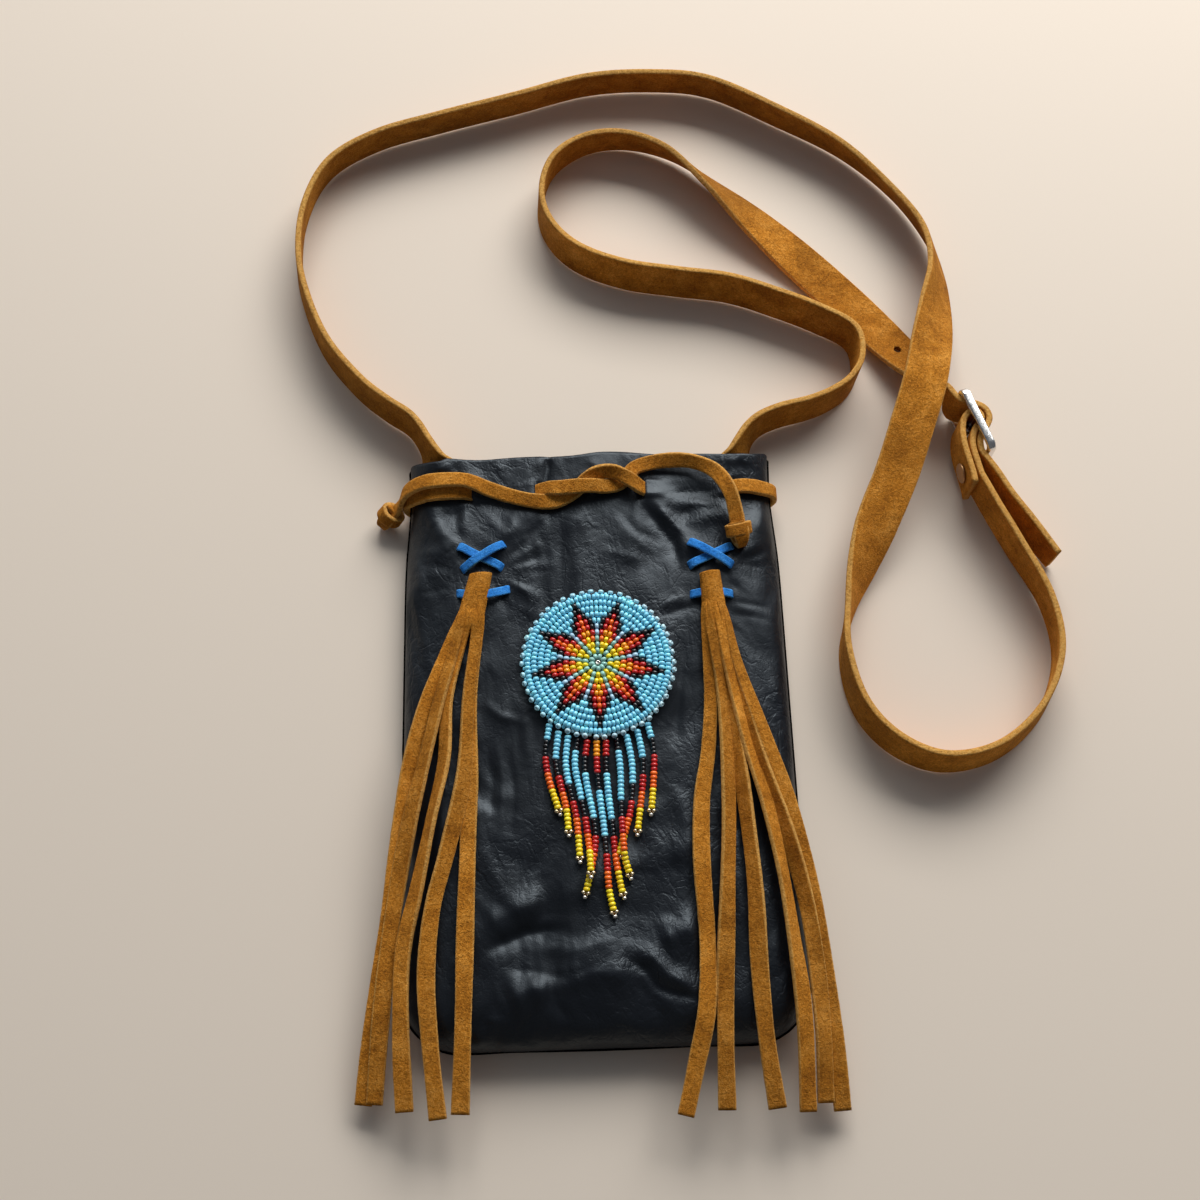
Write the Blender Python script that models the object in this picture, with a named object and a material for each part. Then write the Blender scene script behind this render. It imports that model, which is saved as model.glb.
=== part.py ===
# Beaded leather pouch with fringe tassels, drawstring and a buckled shoulder strap.
# It lies on its back: +Z is up, +Y is the mouth, the origin is under its middle.
# Sizes are in millimetres here and become metres when a mesh is made.

import math

import bmesh
import bpy
from mathutils import Matrix, Vector, geometry

MM = 0.001
GAP = 0.3                     # clearance between two pieces that touch on the real one

# Pouch
POUCH_WIDTH = 105.0
POUCH_LENGTH = 161.0
POUCH_HEIGHT = 13.0
LEATHER = 1.3
SEAM_HEIGHT = 4.5             # height of the side seam above the table
CORNER_RADIUS = 16.0
FRONT_ROUND = 15.0            # how far the front's rounding reaches in from the sides
FRONT_BOTTOM_ROUND = 12.0
BACK_ROUND = 6.0
NECK_TUCK = 1.2               # how much the drawstring pulls each side in
LACE_Y = 70.0                 # drawstring line, from the middle

# Drawstring
LACE_WIDTH = 4.2
LACE_THICK = 1.6
KNOT_SIZE = (3.4, 3.6, 3.0)   # half sizes of an end knot
SLIT_X = (-33.2, -15.6, 15.6, 39.8)
SLIT_LENGTH = 7.6

# Blue cross laces
CROSS_WIDTH = 2.1
CROSS_THICK = 0.9
CROSS_HOLE = 3.2

# Rosette
ROSETTE_X = 1.0
ROSETTE_Y = 17.8
ROSETTE_RINGS = 11
RAYS = 9
BEAD_RING_PITCH = 1.66
BACKING_THICK = 1.2
BEAD_RELIEF = 1.5
EDGE_BEADS = 50
EDGE_BEAD_RADIUS = 0.8
EDGE_BEAD_RISE = 0.2

# Bead strands
STRAND_BEAD_RADIUS = 0.88
STRAND_BEAD_PITCH = 1.12
STRAND_THREAD_RADIUS = 0.45

# Tassels
STRIP_WIDTH = 4.4
STRIP_THICK = 1.4
ROLL_WIDTH = 5.6
ROLL_THICK = 4.2

# Shoulder strap
STRAP_WIDTH = 12.7
STRAP_THICK = 1.8

# Buckle, standing on its long side
BAR_X = 110.9
BAR_Y = 88.9
BUCKLE_ANGLE = -72.3          # direction of the frame on the table, in degrees
WIRE_RADIUS = 0.9
BAR_TO_NEAR_END = 8.1         # rail to the right strap
BAR_TO_FAR_END = 11.1         # rail on the side of the left strap
BUCKLE_CORNER = 1.8
BUCKLE_REST = 0.05            # the frame stands this far above the table
PRONG_RADIUS = 0.7
FOLD_TURN = (62.0, 8.0)       # lean of the folded strap against the frame: at the bar, past the rail
FOLD_BEND = 12.0              # length over which that lean changes
FOLD_END = 21.5
RIVET_FROM_BAR = 15.8
RIVET_CAP_RADIUS = 2.9
RIVET_CAP_THICK = 1.1
RIVET_BACK_RADIUS = 1.7
RIVET_BACK_THICK = 0.4
RIVET_POST_RADIUS = 1.1

UP = Vector((0, 0, 1))
STRAP_LAYER = STRAP_THICK + GAP
BUCKLE_INSIDE = STRAP_WIDTH + 4 * GAP
RAIL_RADIUS = WIRE_RADIUS + GAP + STRAP_THICK / 2
STRAP_Z_IN_BUCKLE = BUCKLE_REST + 2 * WIRE_RADIUS + BUCKLE_INSIDE / 2


def clear_scene():
    for old in list(bpy.data.objects):
        bpy.data.objects.remove(old, do_unlink=True)


def make_material(name, colour, roughness, metallic=0.0):
    material = bpy.data.materials.new(name)
    material.use_nodes = True
    shader = material.node_tree.nodes["Principled BSDF"]
    shader.inputs["Base Color"].default_value = (*colour, 1.0)
    shader.inputs["Roughness"].default_value = roughness
    shader.inputs["Metallic"].default_value = metallic
    return material


def add_object(name, bm, material):
    """Turn a bmesh in millimetres into a named object in metres."""
    bmesh.ops.scale(bm, vec=(MM, MM, MM), verts=bm.verts)
    bmesh.ops.recalc_face_normals(bm, faces=bm.faces)
    mesh = bpy.data.meshes.new(name)
    bm.to_mesh(mesh)
    bm.free()
    piece = bpy.data.objects.new(name, mesh)
    bpy.context.scene.collection.objects.link(piece)
    if material:
        mesh.materials.append(material)
    return piece


def cutter_collection():
    found = bpy.data.collections.get("cutters")
    if not found:
        found = bpy.data.collections.new("cutters")
        bpy.context.scene.collection.children.link(found)
    return found


def use_boolean(piece, tool, operation):
    """Cut or join with the exact solver, and keep the tool as a wire."""
    for owner in list(tool.users_collection):
        owner.objects.unlink(tool)
    cutter_collection().objects.link(tool)
    tool.hide_render = True
    tool.display_type = "WIRE"
    step = piece.modifiers.new(operation.lower(), "BOOLEAN")
    step.operation = operation
    step.solver = "EXACT"
    step.object = tool


# Sweeps

def smooth_route(points, steps):
    """Catmull-Rom through points of any length of tuple."""
    rows = [Vector(p) for p in points]
    ends = [2 * rows[0] - rows[1]] + rows + [2 * rows[-1] - rows[-2]]
    result = []
    for i in range(1, len(ends) - 2):
        a, b, c, d = ends[i - 1:i + 3]
        for k in range(steps):
            t = k / steps
            result.append(0.5 * (2 * b + (c - a) * t + (2 * a - 5 * b + 4 * c - d) * t * t
                                 + (3 * b - a - 3 * c + d) * t ** 3))
    result.append(rows[-1])
    return result


def strip_frames(centres, widths):
    """Centre, width direction and thickness direction at each station."""
    frames = []
    for i, here in enumerate(centres):
        ahead = centres[min(i + 1, len(centres) - 1)]
        behind = centres[max(i - 1, 0)]
        along = (ahead - behind).normalized()
        side = widths[i] - widths[i].dot(along) * along
        side.normalize()
        frames.append((here, side, along.cross(side)))
    return frames


def tube_grid(bm, frames, outline):
    """Wrap a flat grid round the frames: outline(station, k) gives the section's corner k."""
    sides = len(outline(0))
    stations = len(frames)
    grid = bmesh.ops.create_grid(bm, x_segments=sides, y_segments=stations - 1, size=1.0)
    for vert in grid["verts"]:
        k = round((vert.co.x + 1) / 2 * sides) % sides
        row = round((vert.co.y + 1) / 2 * (stations - 1))
        centre, side, face = frames[row]
        across, deep = outline(row)[k]
        vert.co = centre + side * across + face * deep
    bmesh.ops.remove_doubles(bm, verts=bm.verts, dist=1e-5)
    bmesh.ops.holes_fill(bm, edges=[e for e in bm.edges if e.is_boundary], sides=0)


def sweep_strip(name, frames, width, thick, material):
    half_width, half_thick = width / 2, thick / 2
    corners = [(-half_width, -half_thick), (half_width, -half_thick),
               (half_width, half_thick), (-half_width, half_thick)]
    bm = bmesh.new()
    tube_grid(bm, frames, lambda row: corners)
    return add_object(name, bm, material)


def leaning_strip(route, steps):
    """Frames from (x, y, z, lean): lean 0 stands on edge, 90 lies flat."""
    rows = smooth_route(route, steps)
    centres = [Vector(row[:3]) for row in rows]
    widths = []
    for i, row in enumerate(rows):
        ahead = centres[min(i + 1, len(rows) - 1)]
        along = ahead - centres[max(i - 1, 0)]
        level = UP.cross(along).normalized()
        lean = math.radians(row[3])
        widths.append(UP * math.cos(lean) + level * math.sin(lean))
    return strip_frames(centres, widths)


def turned_strip(route, steps):
    """Frames from (x, y, z, width x, width y, width z)."""
    rows = smooth_route(route, steps)
    return strip_frames([Vector(r[:3]) for r in rows], [Vector(r[3:6]) for r in rows])


# Pouch

# Soft folds of the front: x and y of both ends, half width and height
FRONT_FOLDS = [
    (17, 66, 27, 52, 3.0, 1.0),
    (20, 68, 40, 60, 2.6, 0.7),
    (24, 57, 12, 46, 4.0, -0.6),
    (40, 47, 49, 62, 3.2, 0.8),
    (38, 53, 47, 70, 3.0, -0.7),
    (-38, 55, -46, 66, 3.0, 0.9),
    (-36, 60, -33, 74, 2.8, 0.6),
    (-26, 54, -17, 64, 3.4, 0.7),
    (-40, 44, -49, 30, 4.0, -0.6),
    (-24, 44, -22, 32, 3.5, -0.5),
    (-46, -20, -24, -62, 5.5, 0.7),
    (-30, -14, -6, -66, 6.0, -0.5),
    (2, -56, 20, -72, 5.0, 0.6),
    (26, -30, 44, -62, 6.0, 0.6),
    (46, 20, 47, -30, 4.0, -0.6),
    (-4, 62, 2, 78, 3.6, 0.6),
]


def fold_height(x, y):
    total = 0.0
    for x0, y0, x1, y1, half_width, height in FRONT_FOLDS:
        along = Vector((x1 - x0, y1 - y0))
        length = along.length
        along.normalize()
        offset = Vector((x - x0, y - y0))
        run = offset.dot(along) / length
        aside = along.x * offset.y - along.y * offset.x
        beyond = max(0.0, -run, run - 1.0) * length / half_width
        total += height * math.exp(-(aside / half_width) ** 2 - beyond ** 2)
    return total


def half_width_at(y, inset):
    """Half the pouch's width at y, measured inset from the outside."""
    half = POUCH_WIDTH / 2 - inset
    corner = CORNER_RADIUS - inset
    into_corner = -POUCH_LENGTH / 2 + CORNER_RADIUS - y
    if into_corner > 0:
        half += math.sqrt(max(0.0, corner ** 2 - into_corner ** 2)) - corner
    return half - NECK_TUCK * math.exp(-((y - LACE_Y) / 14) ** 2)


def section_place(q, reach, half):
    """Across the pouch: q of -1 to 1 gives x and how full the section is there."""
    flat = 0.6
    if abs(q) <= flat:
        return q / flat * (half - reach), 1.0
    turn = (abs(q) - flat) / (1 - flat) * math.pi / 2
    return math.copysign(half - reach + reach * math.sin(turn), q), math.cos(turn)


def length_place(p, reach, inset):
    """Along the pouch: p of 0 (mouth) to 1 (bottom) gives y and how full it is there."""
    straight = 0.86
    bend_y = -POUCH_LENGTH / 2 + inset + reach
    if p <= straight:
        return POUCH_LENGTH / 2 + (bend_y - POUCH_LENGTH / 2) * p / straight, 1.0
    turn = (p - straight) / (1 - straight) * math.pi / 2
    return bend_y - reach * math.sin(turn), math.cos(turn)


def back_lift(y):
    """The drawstring runs behind the back, which lifts there."""
    return (LACE_THICK + 2 * GAP) * math.exp(-((y - LACE_Y) / 6.5) ** 4)


def front_point(q, p, inset):
    y, fill_y = length_place(p, FRONT_BOTTOM_ROUND - inset, inset)
    x, fill_x = section_place(q, FRONT_ROUND - inset, half_width_at(y, inset))
    seam = SEAM_HEIGHT + GAP / 2
    full = fill_x * fill_y
    return Vector((x, y, seam + (POUCH_HEIGHT - inset - seam) * full + fold_height(x, y) * full))


def back_point(q, p, inset):
    y, fill_y = length_place(p, BACK_ROUND - inset, inset)
    x, fill_x = section_place(q, BACK_ROUND - inset, half_width_at(y, inset))
    seam = SEAM_HEIGHT - GAP / 2
    return Vector((x, y, seam - (seam - inset - back_lift(y)) * fill_x * fill_y))


def front_top(x, y):
    """Height of the front's outside over a place on the table."""
    half = half_width_at(y, 0)
    edge = max(0.0, abs(x) - (half - FRONT_ROUND)) / FRONT_ROUND
    bend_y = -POUCH_LENGTH / 2 + FRONT_BOTTOM_ROUND
    end = max(0.0, bend_y - y) / FRONT_BOTTOM_ROUND
    full = math.sqrt(max(0.0, 1 - edge ** 2)) * math.sqrt(max(0.0, 1 - end ** 2))
    seam = SEAM_HEIGHT + GAP / 2
    return seam + (POUCH_HEIGHT - seam + fold_height(x, y)) * full


def panel(name, place, columns, rows, material):
    """Two layers of one panel, an inset apart, joined along their rim."""
    bm = bmesh.new()
    for inset in (0.0, LEATHER):
        grid = bmesh.ops.create_grid(bm, x_segments=len(columns) - 1,
                                     y_segments=len(rows) - 1, size=1.0)
        for vert in grid["verts"]:
            column = round((vert.co.x + 1) / 2 * (len(columns) - 1))
            row = round((vert.co.y + 1) / 2 * (len(rows) - 1))
            vert.co = place(columns[column], rows[row], inset)
    bmesh.ops.bridge_loops(bm, edges=[e for e in bm.edges if e.is_boundary])
    bmesh.ops.triangulate(bm, faces=bm.faces)
    return add_object(name, bm, material)


def spaced(start, end, count):
    return [start + (end - start) * i / count for i in range(count)]


def make_front_panel(material):
    half = spaced(0.0, 0.6, 7) + spaced(0.6, 1.0, 3) + [1.0]
    columns = [-q for q in reversed(half[1:])] + half
    rows = spaced(0.0, 0.26, 8) + spaced(0.26, 0.86, 8) + spaced(0.86, 1.0, 3) + [1.0]
    front = panel("front_panel", front_point, columns, rows, material)
    for x in SLIT_X:
        use_boolean(front, slit_cutter(x), "DIFFERENCE")
    for side in (-1, 1):
        for x, y in cross_holes(side):
            use_boolean(front, hole_cutter(x, y), "DIFFERENCE")
    return front


def make_back_panel(material):
    half = spaced(0.0, 0.6, 2) + spaced(0.6, 1.0, 3) + [1.0]
    columns = [-q for q in reversed(half[1:])] + half
    rows = spaced(0.0, 0.14, 8) + spaced(0.14, 0.86, 4) + spaced(0.86, 1.0, 3) + [1.0]
    return panel("back_panel", back_point, columns, rows, material)


def slit_cutter(x):
    bm = bmesh.new()
    bmesh.ops.create_cube(bm, size=1.0)
    bmesh.ops.scale(bm, vec=(SLIT_LENGTH, LACE_WIDTH + 2 * GAP, 8.0), verts=bm.verts)
    bmesh.ops.translate(bm, vec=(x, LACE_Y, front_top(x, LACE_Y)), verts=bm.verts)
    return add_object("slit_cutter", bm, None)


def hole_cutter(x, y):
    bm = bmesh.new()
    bmesh.ops.create_cone(bm, cap_ends=True, segments=6, radius1=CROSS_HOLE / 2,
                          radius2=CROSS_HOLE / 2, depth=9.0)
    bmesh.ops.translate(bm, vec=(x, y, front_top(x, y)), verts=bm.verts)
    return add_object("hole_cutter", bm, None)


# Drawstring

def make_drawstring(material):
    """One lace from the left knot, through the four slits and round the back, to the right knot."""
    rest = GAP + LACE_THICK / 2
    behind = LACE_THICK / 2 + GAP / 2
    side_x = half_width_at(LACE_Y, 0) + rest + GAP
    y = LACE_Y
    left_in, left_out, right_out, right_in = SLIT_X
    flat = (0, 1, 0)

    def on_front(x, at_y, lift=0.0):
        return (x, at_y, front_top(x, at_y) + rest + lift)

    def in_slit(x, height):
        return (x, y, front_top(x, y) + height, *flat)

    def inside(x):
        return (x, y, front_top(x, y) - LEATHER - rest - GAP, *flat)

    route = [
        (-57.5, 68.0, 3.7, 0.5, 0.7, 0.3), (-56.4, 71.8, 7.5, 0.4, 0.8, 0.2),
        (-53.2, 73.6, 12.6, 0.2, 1, 0.1), (*on_front(-47.0, 73.4, 3.6), *flat),
        (*on_front(-41.0, 73.0, 2.6), *flat), (*on_front(-34.6, 72.4, 2.2), *flat),
        (*on_front(-28.6, 70.9, 0.7), *flat), (*on_front(-22.4, 67.4), *flat),
        (*on_front(-15.6, 65.2), *flat), (*on_front(-8.8, 65.2), *flat),
        (*on_front(-3.8, 67.8), *flat), (*on_front(0.0, 72.4), *flat),
        (*on_front(3.6, 75.2, 1.0), *flat), (*on_front(7.4, 74.2, 2.7), *flat),
        (*on_front(11.0, 71.6, 2.8), *flat), in_slit(right_out - 1.2, 0.9),
        in_slit(right_out + 1.6, -1.5), inside(right_out + 5.4), inside(27.0), inside(right_in - 5.2),
        in_slit(right_in - 1.5, -1.5), in_slit(right_in + 1.3, 0.3),
        (*on_front(right_in + 4.6, y, 0.5), *flat), (*on_front(right_in + 8.4, y, 0.8), *flat),
        (side_x - 0.6, y, 8.4, *flat), (side_x, y, SEAM_HEIGHT, *flat),
        (side_x - 2.0, y, behind + 0.5, *flat), (side_x - 6.0, y, behind, *flat),
        (0, y, behind, *flat),
        (6.0 - side_x, y, behind, *flat), (2.0 - side_x, y, behind + 0.5, *flat),
        (-side_x, y, SEAM_HEIGHT, *flat), (0.6 - side_x, y, 8.6, *flat),
        (*on_front(-46.6, y, 0.9), *flat), (*on_front(-42.6, y, 0.4), *flat),
        (*on_front(left_in - 4.8, y, 0.2), *flat),
        in_slit(left_in - 1.4, 0.3), in_slit(left_in + 1.4, -1.5), inside(left_in + 5.2),
        inside(left_out - 5.2), in_slit(left_out - 1.6, -1.5), in_slit(left_out + 1.4, 0.7),
        (*on_front(-10.8, 70.8, 1.4), *flat), (*on_front(-7.6, 70.6, 2.3), *flat),
        (*on_front(-3.4, 69.4, 2.7), *flat), (*on_front(0.6, 67.4, 2.6), *flat),
        (*on_front(4.0, 66.8, 1.2), *flat), (*on_front(7.2, 68.6), *flat),
        (*on_front(9.6, 72.2), *flat), (*on_front(12.2, 76.8), *flat),
        (*on_front(17.0, 77.2, 0.5), -0.3, 1, 0.3),
        (*on_front(22.5, 77.6, 1.2), -0.1, 1, 0.6), (*on_front(29.0, 76.8, 1.8), 0.3, 1, 0.8),
        (*on_front(35.0, 73.0, 3.4), 0.8, 0.7, 0.6), (*on_front(38.6, 66.5, 5.0), 1, 0.2, 0.5),
        (*on_front(40.2, 60.0, 3.4), 1, 0.1, 0.3), (*on_front(40.8, 55.5, 2.6), 1, 0.1, 0.2),
    ]
    frames = turned_strip(route, 1)
    lace = sweep_strip("drawstring", frames, LACE_WIDTH, LACE_THICK, material)
    for end in (route[0], route[-1]):
        use_boolean(lace, knot_solid(end[:3]), "UNION")
    return lace


def knot_solid(place):
    bm = bmesh.new()
    bmesh.ops.create_uvsphere(bm, u_segments=8, v_segments=5, radius=1.0)
    bmesh.ops.scale(bm, vec=KNOT_SIZE, verts=bm.verts)
    bmesh.ops.translate(bm, vec=place, verts=bm.verts)
    return add_object("knot_form", bm, None)


# Blue cross laces and tassels

# Ends of the first and second diagonal and of the bar, for the left and right lace
CROSS_ENDS = {
    -1: [((-36.8, 53.6), (-25.2, 47.3)), ((-24.6, 53.9), (-35.9, 47.0)), ((-37.4, 39.3), (-23.4, 39.7))],
    1: [((38.9, 51.8), (27.0, 46.3)), ((27.2, 53.0), (38.4, 46.0)), ((27.0, 37.7), (38.0, 37.5))],
}


def cross_holes(side):
    return [end for run in CROSS_ENDS[side] for end in run]


def run_spot(run, share, height, width):
    """A place along one visible run of a blue lace, above or below the front's outside."""
    start, end = Vector(run[0]), Vector(run[1])
    place = start.lerp(end, share)
    return (place.x, place.y, front_top(place.x, place.y) + height, *width)


def visible_run(run, lift):
    """Up through one hole, across the front and down through the other."""
    rest = GAP + CROSS_THICK / 2
    along = (Vector(run[1]) - Vector(run[0])).normalized()
    width = (-along.y, along.x, 0)
    spots = [(0.0, -LEATHER - 1.3), (0.0, 0.1), (0.1, rest + 0.35), (0.28, rest + lift * 0.8 + 0.1),
             (0.5, rest + lift), (0.72, rest + lift * 0.8 + 0.1), (0.9, rest + 0.35), (1.0, 0.1),
             (1.0, -LEATHER - 1.3)]
    return [run_spot(run, share, height, width) for share, height in spots]


def cross_route(side):
    """First diagonal, second diagonal over it, then the bar, linked inside the pouch."""
    lifts = (0.15, CROSS_THICK + GAP + 0.3, (ROLL_THICK - CROSS_THICK) / 2)
    below = LEATHER + GAP + CROSS_THICK / 2 + 1.7
    route = []
    runs = CROSS_ENDS[side]
    for number, run in enumerate(runs):
        if number:
            link = (runs[number - 1][1], run[0])
            along = (Vector(link[1]) - Vector(link[0])).normalized()
            width = (-along.y, along.x, 0)
            route += [run_spot(link, share, -below, width) for share in (0.3, 0.7)]
        route += visible_run(run, lifts[number])
    for i in range(1, len(route)):
        before, here = Vector(route[i - 1][3:]), Vector(route[i][3:])
        if before.dot(here) < 0:
            route[i] = (*route[i][:3], *(-here))
    return route


def make_cross_lace(name, side, material):
    frames = turned_strip(cross_route(side), 1)
    return sweep_strip(name, frames, CROSS_WIDTH, CROSS_THICK, material)


# Routes of the fringe strips: x and y down the pouch, then the height above the front
LEFT_STRIPS = [
    (0.0, [(-34.6, 34), (-40.4, 23), (-45.6, 9), (-49.8, -7), (-52.4, -24), (-54.6, -44), (-57.4, -62),
           (-59.4, -77), (-61.4, -92)]),
    (1.0, [(-33.9, 34), (-37.9, 23), (-41.9, 9), (-45.7, -7), (-49.6, -23), (-52.6, -38), (-55.2, -56),
           (-56.9, -74), (-58.4, -92)]),
    (0.3, [(-33.2, 34), (-36.4, 24), (-39.9, 9), (-40.5, -7), (-43.7, -23), (-47.4, -40), (-51.0, -56),
           (-51.4, -75), (-50.6, -94)]),
    (1.2, [(-32.6, 34), (-32.4, 25), (-34.2, 9), (-35.4, -12), (-39.5, -31), (-43.4, -46), (-44.9, -62),
           (-43.9, -78), (-42.1, -96)]),
    (0.1, [(-31.8, 34), (-31.9, 25), (-33.6, 9), (-33.9, -12), (-34.4, -31), (-35.0, -50), (-35.6, -73),
           (-36.6, -95)]),
]
RIGHT_STRIPS = [
    (0.0, [(30.9, 34), (29.8, 19), (29.4, 7), (27.9, -7), (26.2, -20), (25.6, -36), (26.0, -56),
           (24.9, -72), (21.8, -85), (18.6, -97)]),
    (1.1, [(31.6, 34), (32.6, 12), (33.1, -6), (32.9, -24), (31.6, -44), (30.0, -64), (29.2, -80),
           (28.8, -96)]),
    (0.2, [(32.4, 34), (34.9, 16), (36.4, -4), (38.0, -26), (38.8, -44), (38.6, -62), (39.4, -80),
           (41.2, -96)]),
    (1.3, [(33.2, 34), (37.0, 16), (40.7, -4), (43.6, -20), (46.0, -38), (47.8, -56), (49.2, -74),
           (48.9, -97)]),
    (0.4, [(33.8, 34), (39.6, 16), (44.4, -8), (48.6, -27), (51.6, -44), (53.4, -60), (53.9, -78),
           (53.7, -95)]),
    (1.4, [(34.2, 34), (41.0, 17), (47.2, -3), (50.9, -20), (52.8, -38), (55.4, -58), (56.9, -77),
           (58.0, -97)]),
]
# Middle of the rolled head: top end and lower end
ROLLS = {-1: ((-30.9, 44.6), (-34.4, 29.0)), 1: ((32.0, 43.2), (33.0, 29.0))}


def strip_height(x, y):
    """Strips rest on the front and sag a little where they hang past it."""
    over_side = max(0.0, abs(x) - 44.0)
    over_end = max(0.0, -y - 72.0)
    bump = max(0.0, *(fold_height(x + aside, y) for aside in (-2.4, -1.2, 0.0, 1.2, 2.4)))
    rest = POUCH_HEIGHT + bump + GAP + STRIP_THICK / 2 + 0.1
    return rest - 0.4 * over_side - 0.16 * over_end


def make_tassel(name, side, strips, material):
    """One piece of suede: a rolled head that opens into cut strips."""
    upper, lower = ROLLS[side]
    roll_z = front_top(*upper) + GAP + ROLL_THICK / 2
    top = Vector((*upper, roll_z))
    low = Vector((*lower, roll_z - 0.4))
    frames = strip_frames([top.lerp(low, i / 3) for i in range(4)], [Vector((1, 0, 0))] * 4)
    half_width, half_thick = ROLL_WIDTH / 2, ROLL_THICK / 2
    outline = [(half_width * math.cos(a), half_thick * math.sin(a))
               for a in (math.radians(22.5 + 45 * k) for k in range(8))]
    bm = bmesh.new()
    tube_grid(bm, frames, lambda row: outline)
    tassel = add_object(name, bm, material)
    for lift, points in strips:
        route = []
        for number, (x, y) in enumerate(points):
            z = roll_z if number == 0 else strip_height(x, y) + lift * max(0.0, 1 - number / 6)
            route.append((x, y, z, 90))
        strip = sweep_strip("strip_form", leaning_strip(route, 1), STRIP_WIDTH, STRIP_THICK, None)
        use_boolean(tassel, strip, "UNION")
    bar = cross_route(side)[-9:]
    bore = sweep_strip("bar_cutter", turned_strip(bar[1:-1], 1), CROSS_WIDTH + 2 * GAP,
                       CROSS_THICK + 2 * GAP, None)
    use_boolean(tassel, bore, "DIFFERENCE")
    return tassel


# Beadwork

def rosette_base():
    return front_top(ROSETTE_X, ROSETTE_Y) + GAP


def make_rosette(material):
    """Rings of beads round one middle bead, and standing beads at the rim, on their backing."""
    edge = (ROSETTE_RINGS + 0.5) * BEAD_RING_PITCH + EDGE_BEAD_RADIUS
    low = BACKING_THICK + 0.25
    high = BACKING_THICK + BEAD_RELIEF
    flat = [Vector((0, 0))]
    heights = [high]

    def add_point(radius, turn, height):
        flat.append(Vector((radius * math.cos(turn), radius * math.sin(turn))))
        heights.append(height)

    for ring in range(1, ROSETTE_RINGS + 1):
        count = RAYS * ring
        for bead in range(count):
            turn = 2 * math.pi * bead / count
            add_point(ring * BEAD_RING_PITCH, turn, high)
            add_point((ring - 0.5) * BEAD_RING_PITCH, turn + math.pi / count, low)
    for bead in range(EDGE_BEADS):
        turn = 2 * math.pi * bead / EDGE_BEADS
        between = turn + math.pi / EDGE_BEADS
        add_point(edge, turn, high + EDGE_BEAD_RISE)
        add_point(edge - EDGE_BEAD_RADIUS, between, low)
        add_point(edge + EDGE_BEAD_RADIUS, turn, low)
        add_point(edge + EDGE_BEAD_RADIUS * 0.3, between, low)
    points, edges, faces, *rest = geometry.delaunay_2d_cdt(flat, [], [], 0, 1e-6)
    bm = bmesh.new()
    verts = [bm.verts.new((p.x, p.y, heights[i])) for i, p in enumerate(points)]
    for face in faces:
        bm.faces.new([verts[i] for i in face])
    wall = bmesh.ops.extrude_edge_only(bm, edges=[e for e in bm.edges if e.is_boundary])
    for vert in (v for v in wall["geom"] if isinstance(v, bmesh.types.BMVert)):
        vert.co.z = 0.0
    bmesh.ops.holes_fill(bm, edges=[e for e in bm.edges if e.is_boundary], sides=0)
    bmesh.ops.translate(bm, vec=(ROSETTE_X, ROSETTE_Y, rosette_base()), verts=bm.verts)
    return add_object("rosette", bm, material)


# Bead count and route of each strand, from the rosette's edge down
STRANDS = [
    (22, [(-12.9, 1.0), (-14.0, -6.0), (-13.2, -13.0), (-11.2, -20.0)]),
    (25, [(-10.5, -1.0), (-11.3, -8.0), (-10.2, -14.5), (-8.8, -21.0), (-8.3, -28.0)]),
    (30, [(-8.0, -2.3), (-8.7, -9.0), (-7.7, -16.0), (-6.2, -24.0), (-5.6, -34.0)]),
    (33, [(-5.5, -3.2), (-6.3, -9.0), (-5.3, -16.0), (-3.9, -24.0), (-3.1, -32.0), (-2.9, -38.5)]),
    (37, [(-3.0, -3.7), (-3.7, -10.0), (-3.0, -16.5), (-1.6, -24.0), (-0.9, -30.0), (-0.6, -36.5),
          (-0.5, -44.0)]),
    (41, [(-0.4, -3.9), (-0.5, -10.0), (0.0, -18.0), (0.8, -26.0), (1.3, -34.0), (1.6, -42.0), (2.9, -49.0)]),
    (37, [(2.1, -3.9), (1.9, -10.0), (2.3, -18.0), (3.1, -26.0), (3.6, -34.0), (4.6, -41.0), (5.6, -45.0)]),
    (33, [(5.0, -3.5), (5.6, -11.0), (5.5, -19.0), (5.6, -27.0), (5.9, -34.0), (6.9, -38.0)]),
    (30, [(7.7, -2.6), (8.7, -9.0), (8.6, -16.0), (8.1, -23.0), (8.2, -29.0), (8.9, -36.0)]),
    (25, [(10.6, -1.3), (11.6, -8.0), (11.4, -15.0), (10.8, -22.0), (10.7, -29.0)]),
    (22, [(13.4, 0.6), (14.6, -6.0), (14.2, -14.0), (13.2, -23.0)]),
]


def walk(points, pitch, count):
    """Evenly spaced places along a route, straight on past its end."""
    places = []
    index = 0
    here = points[0].copy()
    left = 0.0
    while len(places) < count:
        if index < len(points) - 1:
            step = points[index + 1] - here
        else:
            step = (points[-1] - points[-2]).normalized() * 100
        if step.length < left:
            left -= step.length
            index += 1
            here = points[index].copy()
            continue
        here = here + step.normalized() * left
        places.append(here.copy())
        left = pitch
    return places


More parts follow.
